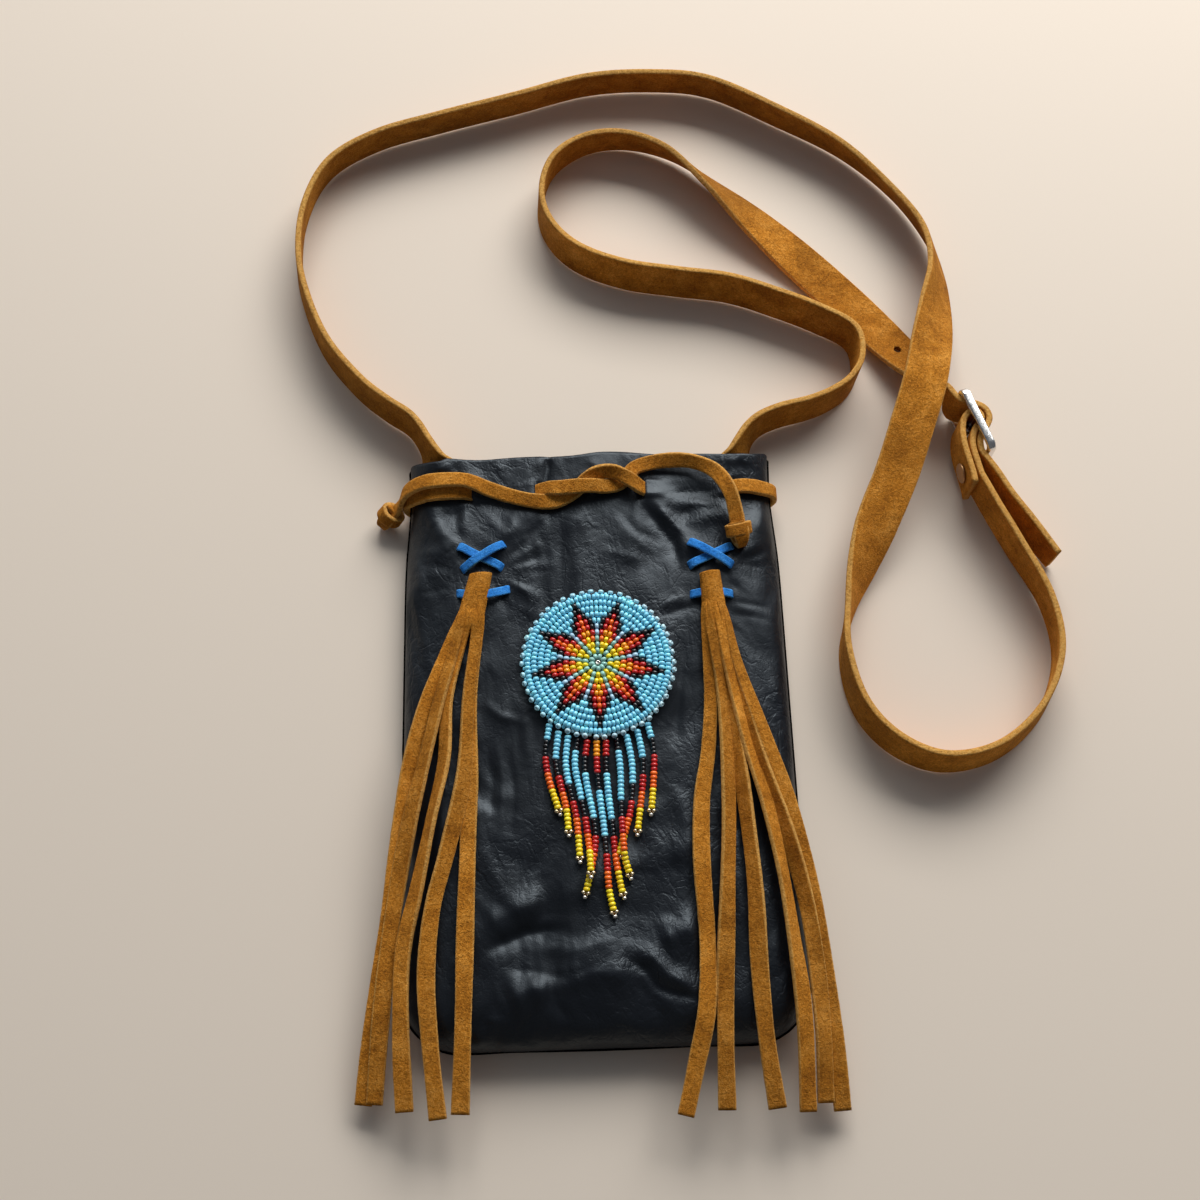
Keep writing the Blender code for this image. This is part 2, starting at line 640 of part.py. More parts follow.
def make_strand(name, count, spots, material):
    """A string of beads: a four-sided tube that swells at each bead."""
    smooth = smooth_route([(x, y, 0) for x, y in spots], 8)
    centres = walk(smooth, STRAND_BEAD_PITCH / 2, 2 * count + 1)
    for centre in centres:
        centre.z = front_top(centre.x, centre.y) + GAP + STRAND_BEAD_RADIUS
    frames = strip_frames(centres, [UP] * len(centres))

    def outline(row):
        radius = STRAND_BEAD_RADIUS if row % 2 else STRAND_THREAD_RADIUS
        if row == 2 * count - 1:
            radius = STRAND_BEAD_RADIUS * 1.1
        return [(radius, 0), (0, radius), (-radius, 0), (0, -radius)]

    bm = bmesh.new()
    tube_grid(bm, frames, outline)
    return add_object(name, bm, material)


# Shoulder strap and buckle

def at_buckle(along, aside):
    """A place on the table from the bar: along the frame and to its outer side."""
    turn = math.radians(BUCKLE_ANGLE)
    return (BAR_X + along * math.cos(turn) - aside * math.sin(turn),
            BAR_Y + along * math.sin(turn) + aside * math.cos(turn))


def off_fold(run, aside):
    """A place from the bar along the folded strap, which bends away from the frame."""
    start, end = (math.radians(turn) for turn in FOLD_TURN)
    steps = 24
    along = across = 0.0
    lean = start
    for k in range(steps):
        length = max(run, 0.0) / steps
        lean = start + (end - start) * min(1.0, (k + 0.5) * length / FOLD_BEND)
        along += length * math.cos(lean)
        across -= length * math.sin(lean)
    lean = start + (end - start) * min(1.0, max(run, 0.0) / FOLD_BEND)
    return at_buckle(along + aside * math.sin(lean), across + aside * math.cos(lean))


def round_bar(radius, turn):
    """A place on a circle round the bar; a turn of 90 degrees is where the fold leaves it."""
    lean = math.radians(90 - FOLD_TURN[0] + turn - 90)
    return at_buckle(radius * math.cos(lean), radius * math.sin(lean))


def inside_corner(side, y, lean):
    """The strap's end lies on the back, over the rise where the drawstring passes behind."""
    rise = max(back_lift(y + ahead) for ahead in (-2.5, 0.0, 2.5))
    return (side * 38.4, y, LEATHER + 2 * GAP + STRAP_THICK / 2 + rise, side * lean)


def strap_left_route():
    """x, y, z and lean, from inside the left corner round to the fold at the bar."""
    loop_z = STRAP_Z_IN_BUCKLE
    route = [
        *(inside_corner(-1, y, 90) for y in (50.0, 55.0, 60.0, 63.0, 66.0, 70.0)),
        (-39.2, 74.0, 5.7, -82), (-41.2, 77.6, 6.5, -66), (-43.6, 81.2, 6.9, -50),
        (-46.0, 85.6, 7.2, -36), (-48.6, 90.6, 7.2, -24), (-52.8, 96.2, 7.0, -16),
        (-58.6, 101.0, 6.9, -12), (-66.8, 108.3, 6.7, -8), (-76.5, 121.0, 6.7, -8), (-83.0, 136.0, 6.7, -8),
        (-86.6, 152.0, 6.7, -8), (-85.6, 170.0, 6.7, -10), (-78.6, 186.0, 6.7, -12),
        (-64.0, 196.0, 6.7, -12), (-44.0, 202.4, 6.7, -12), (-20.0, 209.0, 6.7, -12),
        (3.0, 215.5, 6.7, -12), (24.0, 216.4, 6.7, -12), (42.0, 213.6, 6.7, -12),
        (62.0, 202.4, 6.7, -12), (82.0, 188.8, 6.7, -16), (96.5, 172.4, 6.9, -22),
        (105.2, 156.0, 7.6, -34), (107.4, 141.0, 9.0, -58), (105.2, 127.0, 12.2, -82),
        (101.8, 113.0, 15.8, -90), (98.2, 100.4, 16.6, -90), (93.6, 88.0, 14.2, -90),
        (87.9, 74.0, 10.8, -88), (81.8, 61.0, 8.4, -74), (76.4, 48.6, 7.4, -44),
        (71.6, 35.6, 6.7, -14), (69.0, 22.0, 6.7, 0), (71.9, 6.5, 6.7, 6),
        (80.4, -4.4, 6.7, 8), (93.0, -9.8, 6.7, 8), (108.0, -6.8, 6.7, 8),
        (120.8, 4.0, 6.7, 8), (127.6, 19.0, 6.7, 6), (126.6, 35.0, 6.9, 4),
        (119.6, 51.0, 7.8, 0), (114.4, 62.0, loop_z, 0),
    ]
    return route


def strap_fold():
    """The stretch that runs to the bar, round it and back: places, height and lean."""
    radius = RAIL_RADIUS
    near = radius - STRAP_LAYER
    spots = [off_fold(run, radius) for run in (19.0, RIVET_FROM_BAR, 12.0, 8.5, 5.0, 2.0)]
    spots += [round_bar(radius, 90 + 30 * k) for k in range(7)]
    back = [(2.0, -radius), (5.0, near - 1.2), (8.5, near - 0.35), (12.0, near - 0.03),
            (RIVET_FROM_BAR, near - 0.03), (19.0, near - 0.1), (FOLD_END, near - 0.4)]
    spots += [off_fold(run, aside) for run, aside in back]
    return [(x, y, STRAP_Z_IN_BUCKLE, 0) for x, y in spots]


def strap_right_route():
    """x, y, z and lean, from inside the right corner to the buckle."""
    return [
        *(inside_corner(1, y, 90) for y in (50.0, 55.0, 60.0, 63.0, 66.0, 70.0)),
        (39.2, 74.0, 5.7, 82), (41.0, 77.4, 6.5, 66), (43.0, 80.8, 6.9, 50), (44.8, 84.2, 7.1, 36),
        (47.8, 87.4, 7.1, 20), (52.8, 90.2, 6.9, 10), (59.4, 93.4, 6.8, 6), (67.5, 97.2, 6.7, 4), (76.4, 102.8, 6.7, 0), (81.0, 111.0, 6.7, -4),
        (79.6, 120.8, 6.7, -6), (70.0, 127.4, 6.7, -8), (58.0, 133.2, 6.7, -8),
        (44.0, 138.7, 6.7, -8), (28.0, 141.5, 6.7, -8), (12.0, 144.8, 6.7, -8),
        (-2.0, 151.4, 6.7, -8), (-10.2, 161.4, 6.7, -6), (-12.3, 173.0, 6.7, -4),
        (-8.4, 185.0, 6.7, -6), (1.8, 192.6, 6.7, -10), (14.8, 193.8, 6.7, -14),
        (28.6, 188.2, 6.8, -22), (41.4, 176.2, 6.2, -40), (54.0, 163.6, 4.2, -66),
        (67.4, 150.0, 2.0, -86), (80.0, 135.6, 1.6, -90), (89.4, 123.4, 2.4, -84),
        (95.8, 114.2, 4.0, -72), (100.2, 107.6, 5.6, -56), (103.4, 102.4, 7.4, -32),
        (104.9, 99.4, 8.5, -8),
    ]


def strap_through_buckle():
    """Under the near rail, over the bar and the fold, under the far rail and on to the tail."""
    z = STRAP_Z_IN_BUCKLE
    around_rail = RAIL_RADIUS + 0.1
    hump = RAIL_RADIUS + STRAP_LAYER + 0.1
    rise = math.asin((around_rail + hump) / BAR_TO_NEAR_END)
    spots = []
    for turn in (-math.pi / 2, rise - math.pi / 2):
        spots.append(at_buckle(-BAR_TO_NEAR_END + around_rail * math.cos(turn), around_rail * math.sin(turn)))
    past = math.radians(90 - FOLD_TURN[0])
    for k in range(4):
        turn = math.pi / 2 + rise + (past - math.pi / 2 - rise) * k / 3
        spots.append(at_buckle(hump * math.cos(turn), hump * math.sin(turn)))
    spots += [off_fold(run, hump) for run in (3.0, 6.0, 9.0, 12.5)]
    spots.append(off_fold(14.6, hump + 0.8))
    route = [(x, y, z, 0) for x, y in spots]
    return route + [(115.6, 71.6, 8.6, 0), (119.0, 65.2, 8.0, 0), (124.4, 56.8, 7.2, 0),
                    (130.2, 47.4, 6.8, -4)]


def prong_axis_z():
    return STRAP_Z_IN_BUCKLE


def prong_points():
    """An eye round the bar, then straight to the near rail."""
    radius = WIRE_RADIUS + GAP + PRONG_RADIUS
    points = []
    for k in range(9):
        turn = math.radians(-200 + 290 * k / 8)
        points.append(at_buckle(radius * math.cos(turn), radius * math.sin(turn)))
    points += [at_buckle(-3.0, radius), at_buckle(-BAR_TO_NEAR_END - 0.8, radius)]
    return [Vector((x, y, prong_axis_z())) for x, y in points]


def round_wire(name, points, radius, material, closed=False, sides=8):
    """A bent wire of round section through points."""
    count = len(points)
    frames = []
    for i, here in enumerate(points):
        ahead = points[(i + 1) % count] if closed else points[min(i + 1, count - 1)]
        behind = points[i - 1] if closed else points[max(i - 1, 0)]
        along = (ahead - behind).normalized()
        guide = UP if abs(along.z) < 0.9 else Vector((*at_buckle(0, 1), 0)) - Vector((BAR_X, BAR_Y, 0))
        side = (guide - guide.dot(along) * along).normalized()
        frames.append((here, side, along.cross(side)))
    ring = [(radius * math.cos(a), radius * math.sin(a))
            for a in (2 * math.pi * k / sides for k in range(sides))]
    bm = bmesh.new()
    tube_grid(bm, frames, lambda row: ring)
    return add_object(name, bm, material)


def make_buckle_frame(material):
    """A rounded rectangle of wire on edge with a bar across it."""
    low = WIRE_RADIUS + BUCKLE_REST
    high = low + 2 * WIRE_RADIUS + BUCKLE_INSIDE
    near, far, r = -BAR_TO_NEAR_END, BAR_TO_FAR_END, BUCKLE_CORNER
    corners = [(near + r, low + r, 180), (far - r, low + r, 270), (far - r, high - r, 0), (near + r, high - r, 90)]
    loop = []
    for along, height, start in corners:
        for k in range(4):
            turn = math.radians(start + 90 * k / 3)
            x, y = at_buckle(along + r * math.cos(turn), 0)
            loop.append(Vector((x, y, height + r * math.sin(turn))))
    side = Vector((*at_buckle(0, 1), 0)) - Vector((BAR_X, BAR_Y, 0))
    frames = []
    loop.append(loop[0])
    for i, here in enumerate(loop):
        ahead = loop[i + 1] if i + 1 < len(loop) else loop[1]
        behind = loop[i - 1] if i else loop[-2]
        along = (ahead - behind).normalized()
        frames.append((here, side, along.cross(side)))
    ring = [(WIRE_RADIUS * math.cos(a), WIRE_RADIUS * math.sin(a))
            for a in (math.radians(22.5 + 45 * k) for k in range(8))]
    bm = bmesh.new()
    grid = bmesh.ops.create_grid(bm, x_segments=8, y_segments=len(frames) - 1, size=1.0)
    for vert in grid["verts"]:
        k = round((vert.co.x + 1) / 2 * 8) % 8
        centre, across, deep = frames[round((vert.co.y + 1) / 2 * (len(frames) - 1))]
        vert.co = centre + across * ring[k][0] + deep * ring[k][1]
    bmesh.ops.remove_doubles(bm, verts=bm.verts, dist=1e-4)
    frame = add_object("buckle_frame", bm, material)
    bar = round_wire("bar_form", [Vector((BAR_X, BAR_Y, low)), Vector((BAR_X, BAR_Y, high))],
                     WIRE_RADIUS * 0.94, None)
    use_boolean(frame, bar, "UNION")
    return frame


def make_strap_left(material):
    frames = leaning_strip(strap_left_route(), 2)[:-1] + leaning_strip(strap_fold(), 1)
    strap = sweep_strip("strap_left", frames, STRAP_WIDTH, STRAP_THICK, material)
    slot = [Vector((BAR_X, BAR_Y, prong_axis_z() + height))
            for height in (-PRONG_RADIUS - GAP, PRONG_RADIUS + GAP)]
    reach = RAIL_RADIUS + STRAP_THICK / 2 + GAP
    use_boolean(strap, round_wire("prong_slot", slot, reach, None, sides=14), "DIFFERENCE")
    hole = rivet_shaft("rivet_hole", RIVET_POST_RADIUS + GAP, -4.0, 6.0)
    use_boolean(strap, hole, "DIFFERENCE")
    return strap


def make_strap_right(material):
    frames = leaning_strip(strap_right_route() + strap_through_buckle(), 2)
    strap = sweep_strip("strap_right", frames, STRAP_WIDTH, STRAP_THICK, material)
    radius = WIRE_RADIUS + GAP + PRONG_RADIUS
    ends = [Vector((*at_buckle(-BAR_TO_NEAR_END - 3, radius), prong_axis_z())),
            Vector((*at_buckle(-1.6, radius), prong_axis_z()))]
    use_boolean(strap, round_wire("prong_hole", ends, PRONG_RADIUS + GAP, None), "DIFFERENCE")
    return strap


def rivet_shaft(name, radius, start, end):
    """A round bar across the folded strap at the rivet."""
    ends = [Vector((*off_fold(RIVET_FROM_BAR, aside), STRAP_Z_IN_BUCKLE)) for aside in (start, end)]
    return round_wire(name, ends, radius, None, sides=12)


def make_rivet(material):
    """Cap, post and back washer, turned as one profile."""
    middle = RAIL_RADIUS - STRAP_LAYER / 2
    face = STRAP_THICK + GAP / 2 + GAP
    r, post, thick = RIVET_CAP_RADIUS, RIVET_POST_RADIUS, RIVET_CAP_THICK
    profile = [(0, -face - thick), (r * 0.55, -face - thick * 0.9), (r * 0.9, -face - thick * 0.45),
               (r, -face), (post, -face), (post, face), (RIVET_BACK_RADIUS, face),
               (RIVET_BACK_RADIUS, face + RIVET_BACK_THICK), (0, face + RIVET_BACK_THICK)]
    bm = bmesh.new()
    verts = [bm.verts.new((radius, 0, height)) for radius, height in profile]
    edges = [bm.edges.new(pair) for pair in zip(verts, verts[1:])]
    bmesh.ops.spin(bm, geom=verts + edges, cent=(0, 0, 0), axis=(0, 0, 1),
                   angle=2 * math.pi, steps=12)
    bmesh.ops.remove_doubles(bm, verts=bm.verts, dist=1e-4)
    outward = Vector((*off_fold(RIVET_FROM_BAR, 1), 0)) - Vector((*off_fold(RIVET_FROM_BAR, 0), 0))
    turn = UP.rotation_difference(outward).to_matrix()
    bmesh.ops.rotate(bm, matrix=turn, verts=bm.verts)
    x, y = off_fold(RIVET_FROM_BAR, middle)
    bmesh.ops.translate(bm, vec=(x, y, STRAP_Z_IN_BUCKLE), verts=bm.verts)
    return add_object("strap_rivet", bm, material)


def main():
    clear_scene()
    leather = make_material("black_leather", (0.022, 0.024, 0.028), 0.42)
    suede = make_material("tan_suede", (0.44, 0.20, 0.045), 0.9)
    blue = make_material("blue_leather", (0.02, 0.16, 0.60), 0.5)
    beads = make_material("glass_beads", (0.14, 0.50, 0.75), 0.15)
    nickel = make_material("nickel", (0.78, 0.77, 0.74), 0.2, 1.0)
    copper = make_material("copper", (0.62, 0.36, 0.20), 0.35, 1.0)

    make_back_panel(leather)
    make_front_panel(leather)
    make_drawstring(suede)
    make_cross_lace("cross_lace_left", -1, blue)
    make_cross_lace("cross_lace_right", 1, blue)
    make_tassel("tassel_left", -1, LEFT_STRIPS, suede)
    make_tassel("tassel_right", 1, RIGHT_STRIPS, suede)
    make_rosette(beads)
    for number, (count, spots) in enumerate(STRANDS, 1):
        make_strand(f"bead_strand_{number:02d}", count, spots, beads)
    make_strap_left(suede)
    make_strap_right(suede)
    make_buckle_frame(nickel)
    round_wire("buckle_prong", prong_points(), PRONG_RADIUS, nickel)
    make_rivet(copper)


main()
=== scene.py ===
# Looks of the beaded leather pouch: leather, suede, beadwork, buckle, camera and light.
# Places are written in millimetres, as in the part's source, and meshes are made in metres.

import random
from math import asin, copysign, cos, degrees, dist, exp, hypot, pi, radians, sin, sqrt

import bmesh
import bpy
import numpy as np
from mathutils import Matrix, Vector


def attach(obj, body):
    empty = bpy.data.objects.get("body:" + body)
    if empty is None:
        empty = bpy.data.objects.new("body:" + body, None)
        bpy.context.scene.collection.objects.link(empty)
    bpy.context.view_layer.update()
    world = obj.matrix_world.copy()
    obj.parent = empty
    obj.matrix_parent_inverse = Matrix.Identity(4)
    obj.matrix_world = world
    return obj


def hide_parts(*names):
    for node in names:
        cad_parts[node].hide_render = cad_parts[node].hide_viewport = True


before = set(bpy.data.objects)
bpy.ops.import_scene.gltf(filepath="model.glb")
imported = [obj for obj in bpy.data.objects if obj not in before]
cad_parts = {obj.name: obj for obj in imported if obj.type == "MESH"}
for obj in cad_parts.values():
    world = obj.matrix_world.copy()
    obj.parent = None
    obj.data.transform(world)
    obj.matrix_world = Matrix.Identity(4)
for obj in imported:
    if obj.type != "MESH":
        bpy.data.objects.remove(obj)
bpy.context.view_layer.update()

MM = 0.001
GAP = 0.3
UP = Vector((0, 0, 1))

POUCH_WIDTH = 105.0
POUCH_LENGTH = 161.0
POUCH_HEIGHT = 13.0
LEATHER = 1.3
SEAM_HEIGHT = 4.5
CORNER_RADIUS = 16.0
FRONT_ROUND = 15.0
FRONT_BOTTOM_ROUND = 12.0
BACK_ROUND = 6.0
NECK_TUCK = 1.2
LACE_Y = 70.0

LACE_WIDTH = 4.2
LACE_THICK = 1.6
LACE_TONE = 0.24
SLIT_X = (-33.2, -15.6, 15.6, 39.8)

CROSS_WIDTH = 2.35
CROSS_THICK = 0.9

ROSETTE_X = 0.6
ROSETTE_Y = 18.2
ROSETTE_RINGS = 11
RAYS = 9
BEAD_RING_PITCH = 1.72
BACKING_THICK = 1.2
BACKING_RADIUS = 19.3
BEAD_LIFT = 0.72
EDGE_BEADS = 50
EDGE_BEAD_RADIUS = 0.8

STRAND_BEAD_RADIUS = 0.88
STRAND_BEAD_PITCH = 1.12

STRIP_WIDTH = 4.4
STRIP_THICK = 1.4
ROLL_WIDTH = 5.6
ROLL_THICK = 4.2

STRAP_WIDTH = 12.7
STRAP_THICK = 1.8
STRAP_HOLE = (93.7, 117.3)
STRAP_HOLE_RADIUS = 1.15

BAR_X = 110.9
BAR_Y = 88.9
BUCKLE_ANGLE = -72.3
WIRE_RADIUS = 0.9
BAR_TO_NEAR_END = 8.1
BAR_TO_FAR_END = 11.1
BUCKLE_CORNER = 1.8
BUCKLE_REST = 0.05
PRONG_RADIUS = 0.7
FOLD_TURN = (62.0, 8.0)
FOLD_BEND = 12.0
FOLD_END = 21.5
RIVET_FROM_BAR = 15.8
RIVET_CAP_RADIUS = 2.9
RIVET_CAP_THICK = 1.1
RIVET_BACK_RADIUS = 1.7
RIVET_BACK_THICK = 0.4
RIVET_POST_RADIUS = 1.1

STRAP_LAYER = STRAP_THICK + GAP
BUCKLE_INSIDE = STRAP_WIDTH + 4 * GAP
RAIL_RADIUS = WIRE_RADIUS + GAP + STRAP_THICK / 2
STRAP_Z_IN_BUCKLE = BUCKLE_REST + 2 * WIRE_RADIUS + BUCKLE_INSIDE / 2


# Materials

def new_material(name):
    material = bpy.data.materials.new(name)
    material.use_nodes = True
    return material, material.node_tree, material.node_tree.nodes["Principled BSDF"]


def fill(tree, made, sockets):
    """Link or set sockets by name or number; a colour is given as three numbers."""
    for key, value in sockets.items():
        socket = made.inputs[key]
        if isinstance(value, bpy.types.NodeSocket):
            tree.links.new(value, socket)
        elif socket.type == "RGBA":
            socket.default_value = (*value, 1.0)
        else:
            socket.default_value = value


def node(tree, kind, sockets=None, **settings):
    """Add a node, set it and fill its sockets."""
    made = tree.nodes.new(kind)
    for key, value in settings.items():
        setattr(made, key, value)
    fill(tree, made, sockets or {})
    return made


def noise(tree, place, scale, detail=3.0, rough=0.55, distortion=0.0):
    made = node(tree, "ShaderNodeTexNoise", {"Vector": place, "Scale": scale, "Detail": detail,
                                             "Roughness": rough, "Distortion": distortion})
    return made.outputs["Fac"]


def ramp(tree, value, stops):
    """Colour ramp from (position, colour) pairs, with a grey level for a plain number."""
    made = node(tree, "ShaderNodeValToRGB", {"Fac": value})
    points = made.color_ramp.elements
    while len(points) < len(stops):
        points.new(0.5)
    for point, (position, colour) in zip(points, stops):
        point.position = position
        point.color = (*colour, 1.0) if isinstance(colour, tuple) else (colour, colour, colour, 1.0)
    return made.outputs["Color"]


def blend_colours(tree, share, first, second, kind="MIX"):
    return node(tree, "ShaderNodeMix", {0: share, 6: first, 7: second}, data_type="RGBA",
                blend_type=kind).outputs[2]


def maths(tree, operation, first, second=0.0, third=0.5):
    return node(tree, "ShaderNodeMath", {0: first, 1: second, 2: third}, operation=operation).outputs[0]


def bumps(tree, layers):
    """Bump nodes one over another, from layers of (height, distance, strength)."""
    normal = None
    for height, distance, strength in layers:
        sockets = {"Height": height, "Distance": distance, "Strength": strength}
        if normal:
            sockets["Normal"] = normal
        normal = node(tree, "ShaderNodeBump", sockets).outputs["Normal"]
    return normal


def object_place(tree):
    return node(tree, "ShaderNodeTexCoord").outputs["Object"]


def attribute(tree, name):
    return node(tree, "ShaderNodeAttribute", attribute_name=name).outputs["Fac"]


def creased(tree, place, scale, width, distortion=0.9):
    """Meandering creases: 0 along the lines where a noise crosses its middle, 1 beside them."""
    line = maths(tree, "SUBTRACT", noise(tree, place, scale, 3, 0.5, distortion), 0.5)
    return ramp(tree, maths(tree, "ABSOLUTE", line), [(0.0, 0.0), (width, 1.0)])


def leather_material():
    """Black garment leather: fine grain, creases in patches and a soft uneven shine."""
    material, tree, shader = new_material("black_leather")
    place = object_place(tree)
    drawn = node(tree, "ShaderNodeMapping", {"Vector": place, "Rotation": (0.0, 0.0, 0.35),
                                             "Scale": (1.0, 0.62, 1.0)}).outputs["Vector"]
    pores = node(tree, "ShaderNodeTexVoronoi", {"Vector": place, "Scale": 2100.0}).outputs["Distance"]
    where = ramp(tree, noise(tree, place, 34, 3, 0.6, 0.5), [(0.40, 0.12), (0.60, 1.0)])
    long_creases = maths(tree, "MULTIPLY", creased(tree, drawn, 150, 0.05, 0.5), where)
    short_creases = maths(tree, "MULTIPLY", creased(tree, place, 360, 0.06, 0.4), where)
    colour = ramp(tree, noise(tree, place, 40, 4, 0.6, 0.6),
                  [(0.3, (0.0028, 0.0034, 0.0052)), (0.7, (0.0060, 0.0072, 0.0105))])
    normal = bumps(tree, [(noise(tree, drawn, 46, 2, 0.45, 0.6), 0.0048, 1.0),
                          (noise(tree, drawn, 170, 2, 0.5, 0.7), 0.00036, 1.0),
                          (long_creases, 0.00010, 0.8), (short_creases, 0.00006, 0.7),
                          (pores, 0.00004, 0.6)])
    fill(tree, shader, {
        "Base Color": blend_colours(tree, attribute(tree, "edge"), colour, (0.052, 0.038, 0.022)),
        "Roughness": ramp(tree, noise(tree, place, 85, 4, 0.65), [(0.3, 0.36), (0.7, 0.50)]),
        "Specular IOR Level": 0.42, "Specular Tint": (0.80, 0.91, 1.0), "Normal": normal})
    return material


def suede_material(name, dark, middle, light, cut_edge_and_highlight_colour, nap=1.0):
    """Brushed hide: short fibres in tufts that lie either way, and paler cut edges, partly their own colour
    and partly painted highlight.
    """
    material, tree, shader = new_material(name)
    place = object_place(tree)
    broad = noise(tree, place, 34, 3, 0.55, 0.4)
    patches = noise(tree, place, 130, 4, 0.6, 0.5)
    tufts = noise(tree, place, 1400, 4, 0.7, 0.6)
    fibres = noise(tree, place, 3200, 3, 0.7)
    ticks = creased(tree, place, 520, 0.045, 0.8)
    total = maths(tree, "MULTIPLY", patches, 0.36)
    total = maths(tree, "MULTIPLY_ADD", tufts, 0.36, total)
    total = maths(tree, "MULTIPLY_ADD", fibres, 0.28, total)
    # the tone attribute adds each piece's own tone, and on the straps painted light
    shade = maths(tree, "ADD", ramp(tree, broad, [(0.36, 0.76), (0.62, 1.04)]), attribute(tree, "tone"))
    # painted shade: the colour is darkened along the fine crease lines
    shade = maths(tree, "MULTIPLY", shade, ramp(tree, ticks, [(0.0, 0.78), (1.0, 1.0)]))
    colour = ramp(tree, total, [(0.38, dark), (0.50, middle), (0.62, light)])
    colour = blend_colours(tree, 1.0, colour, shade, "MULTIPLY")
    # cut edges painted paler: partly the edge's own colour, partly painted highlight where the edge would
    # catch the light
    edge = maths(tree, "MULTIPLY", attribute(tree, "edge"), ramp(tree, tufts, [(0.40, 0.40), (0.58, 1.0)]))
    normal = bumps(tree, [(patches, 0.0005, 0.5 * nap), (ticks, 0.00012, 0.7 * nap),
                          (tufts, 0.00045, nap), (fibres, 0.00016, nap)])
    fill(tree, shader, {"Base Color": blend_colours(tree, edge, colour, cut_edge_and_highlight_colour), "Roughness": 0.9,
                        "Specular IOR Level": 0.14, "Sheen Weight": 0.22 * nap, "Sheen Roughness": 0.4,
                        "Sheen Tint": light, "Normal": normal})
    return material


def bead_material(name, colour, metal):
    """Glass or metal seed bead: a colour that shifts a little from bead to bead, and a hard shine."""
    material, tree, shader = new_material(name)
    place = object_place(tree)
    low = tuple(c * 0.84 for c in colour)
    high = tuple(min(1.0, c * 1.22 + 0.01) for c in colour)
    shade = ramp(tree, noise(tree, place, 620, 2, 0.5), [(0.32, low), (0.5, colour), (0.68, high)])
    fill(tree, shader, {"Base Color": shade, "Roughness": 0.22 if metal else 0.30, "Metallic": metal,
                        "Coat Weight": 0.0 if metal else 0.35, "Coat Roughness": 0.12,
                        "Normal": bumps(tree, [(noise(tree, place, 1900, 2), 0.00003, 0.5)])})
    return material


def metal_material(name, colour, rough):
    """Plated wire with fine wear in its shine."""
    material, tree, shader = new_material(name)
    place = object_place(tree)
    wear = noise(tree, place, 700, 4, 0.65)
    worn = tuple(c * 0.86 for c in colour)
    fill(tree, shader, {"Base Color": ramp(tree, wear, [(0.35, worn), (0.65, colour)]), "Metallic": 1.0,
                        "Roughness": ramp(tree, wear, [(0.3, rough * 0.8), (0.7, rough * 1.4)]),
                        "Normal": bumps(tree, [(noise(tree, place, 2600, 3), 0.00002, 0.5)])})
    return material


# Meshes

def new_object(name, data):
    made = bpy.data.objects.new(name, data)
    bpy.context.scene.collection.objects.link(made)
    return made


def to_object(name, verts, faces, material, edge=None, tone=None):
    """Mesh in metres from places in millimetres; edge marks cut edges and tone paler places, which on the
    straps are painted light.
    """
    mesh = bpy.data.meshes.new(name)
    mesh.from_pydata([tuple(c * MM for c in v) for v in verts], [], faces)
    if material:
        mesh.materials.append(material)
    mesh.polygons.foreach_set("use_smooth", [True] * len(mesh.polygons))
    for kind, values in (("edge", edge), ("tone", tone)):
        if values:
            mesh.attributes.new(kind, "FLOAT", "POINT").data.foreach_set("value", values)
    mesh.update()
    return new_object(name, mesh)


def smooth_route(points, steps):
    """Catmull-Rom through points of any length of tuple."""
    rows = [Vector(p) for p in points]
    ends = [2 * rows[0] - rows[1]] + rows + [2 * rows[-1] - rows[-2]]
    result = []
    for i in range(1, len(ends) - 2):
        a, b, c, d = ends[i - 1:i + 3]
        for k in range(steps):
            t = k / steps
            result.append(0.5 * (2 * b + (c - a) * t + (2 * a - 5 * b + 4 * c - d) * t * t
                                 + (3 * b - a - 3 * c + d) * t ** 3))
    result.append(rows[-1])
    return result


def even_rows(rows, spacing, count=None):
    """The same route in even steps, measured on the first three numbers: to its end, or count rows."""
    data = np.array([tuple(row) for row in rows])
    steps = np.linalg.norm(np.diff(data[:, :3], axis=0), axis=1)
    run = np.concatenate([[0.0], np.cumsum(steps)])
    if count:
        wanted = spacing * np.arange(count)
    else:
        wanted = np.linspace(0.0, run[-1], max(2, int(round(run[-1] / spacing)) + 1))
    return [Vector(row) for row in np.stack([np.interp(wanted, run, column) for column in data.T], axis=1)]


def strip_frames(centres, widths):
    """Centre, width direction and thickness direction at each station."""
    frames = []
    for i, here in enumerate(centres):
        ahead = centres[min(i + 1, len(centres) - 1)]
        behind = centres[max(i - 1, 0)]
        along = (ahead - behind).normalized()
        side = widths[i] - widths[i].dot(along) * along
        side.normalize()
        frames.append((here, side, along.cross(side)))
    return frames


def leaning_frames(rows):
    """Frames from rows of (x, y, z, lean): lean 0 stands on edge, 90 lies flat."""
    centres = [Vector(row[:3]) for row in rows]
    widths = []
    for i, row in enumerate(rows):
        ahead = centres[min(i + 1, len(rows) - 1)]
        along = ahead - centres[max(i - 1, 0)]
        level = UP.cross(along).normalized()
        lean = radians(row[3])
        widths.append(UP * cos(lean) + level * sin(lean))
    return strip_frames(centres, widths)


def in_metres(rows):
    return [tuple(c * MM for c in row[:3]) for row in rows]


def turned_frames(rows):
    """Frames from rows of (x, y, z, width x, width y, width z)."""
    return strip_frames([Vector(r[:3]) for r in rows], [Vector(r[3:6]) for r in rows])


